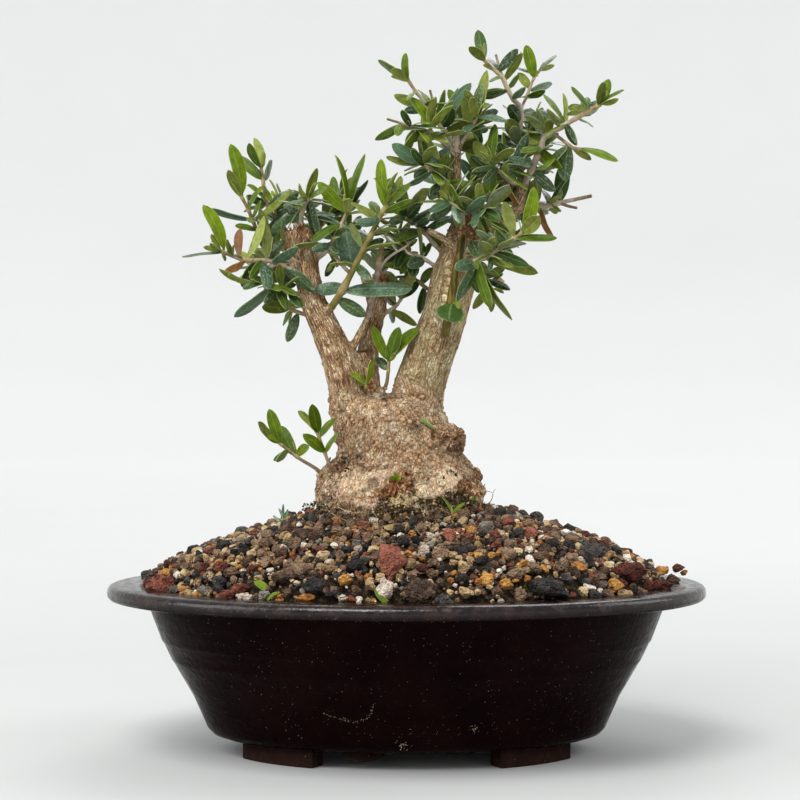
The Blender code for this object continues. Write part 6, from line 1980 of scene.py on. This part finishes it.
# Rows as (count, spread in the view, sizes in mm, places (column, row)).
GRIT_ROWS = lines_of("""
90 1 0.12 0.34, 323 713, 334 718, 347 721, 358 722, 367 719, 372 712, 373 700
26 2.2 0.2 0.7, 399 744, 407 746
18 2 0.2 0.6, 471 728, 476 730
60 4 0.1 0.26, 230 640, 300 650, 360 652, 430 648, 520 640
60 6 0.1 0.26, 260 700, 330 730, 420 735, 500 726, 560 700
40 2 0.1 0.24, 300 618, 400 622, 500 618
""")
WALL_GRIT = 420
WALL_ROWS = (12.0, 55.0)
draw = random.Random(GRIT_SEED)
wall_tree = BVHTree.FromPolygons([vert.co / MM for vert in pot.data.vertices],
                                 [tuple(face.vertices) for face in pot.data.polygons])
wall_specks = []


def add_speck(start, way, sizes):
    """Speck where a line first meets the pot."""
    spot = wall_tree.ray_cast(start, way)[0]
    if spot is not None:
        add_grain(wall_specks, fine_shapes, spot, [draw.uniform(*sizes) for _ in range(3)])


for (count, spread, *sizes), *spots in GRIT_ROWS:
    for _ in range(int(count)):
        step = draw.random() * (len(spots) - 1)
        aim = place(*(between(a, b, step % 1) + draw.gauss(0, spread)
                      for a, b in zip(spots[int(step)], spots[int(step) + 1])))
        add_speck(EYE, aim - EYE, sizes)
for _ in range(WALL_GRIT):
    turn, height = draw.uniform(0, 2 * math.pi), draw.uniform(*WALL_ROWS)
    inwards = Vector((-math.cos(turn), -math.sin(turn), 0))
    add_speck(Vector((0, 0, height)) - inwards * 300, inwards, (0.1, 0.28))
chalk = toned("dried_lime_and_clay", 0.95, 0.1, "0 #5c4a38, 0.5 #8f8672, 1 #c9c2ac")
dried = mesh_piece("dried_grit", wall_specks, (chalk,), (("tone", "FLOAT"),), smooth=30)
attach(dried, "root")

# Floor and light
# A pale round floor that curves up at its far edge, lit by the sky of a white room and four large
# soft lamps: above the front, at each side and above the back.
FLOOR_SIDES = 96
# Rings of the floor as (radius, height) in millimetres: its flat disc and its raised edge.
FLOOR_RINGS = ((1200, 0), (1500, 10), (1750, 60), (1950, 170), (2100, 340), (2200, 600), (2250, 1000))
floor = turned("floor", [(reach, reach, height) for reach, height in FLOOR_RINGS], FLOOR_SIDES,
               closed=False)
floor.data.shade_smooth()
backdrop, tree, shader = new_material("matt_white_floor")
spot = node("TexCoord", out="Object")
away = node("VectorMath LENGTH", spot)
haze = node("TexNoise", spot, 9, 4)
# Painted light: the floor is paler towards its far edge, to make up for the lamps' light that falls off
# there.
shade = node("MapRange", away, 0.3, 1.7, 0, 0.74)
shade = node("Math MULTIPLY_ADD", haze, 0.05, shade)
colour = node("ValToRGB", shade, ramp="0 #bebfbe, 1 #f6f7f6")
feed(shader, Base_Color=colour, Roughness=0.95, Specular_IOR_Level=0.1)
floor.data.materials.append(backdrop)

SKY_STRENGTH = 0.8
LAMP_AIM = Vector((0, 0, 0.12))
# Lamps as (name, place in metres, size in metres, power in watts).
LAMPS = (
    ("lamp_front", (-0.35, -0.85, 1.35), 0.7, 18.0),
    ("lamp_left", (-1.3, -0.5, 0.8), 0.9, 9.0),
    ("lamp_right", (1.4, 0.1, 1.0), 0.9, 7.0),
    ("lamp_back", (0.2, 1.1, 1.3), 0.9, 7.0),
)
for name, spot, size, power in LAMPS:
    bpy.ops.object.light_add(type="AREA", location=spot)
    lamp = bpy.context.object
    lamp.name = name
    lamp.data.size = size
    lamp.data.energy = power
    lamp.rotation_euler = (LAMP_AIM - Vector(spot)).to_track_quat("-Z", "Y").to_euler()
world = bpy.data.worlds.new("white_room")
world.use_nodes = True
world.node_tree.nodes["Background"].inputs["Color"].default_value = linear("#eceeee")
world.node_tree.nodes["Background"].inputs["Strength"].default_value = SKY_STRENGTH
bpy.context.scene.world = world
bpy.context.scene.view_settings.view_transform = "Standard"
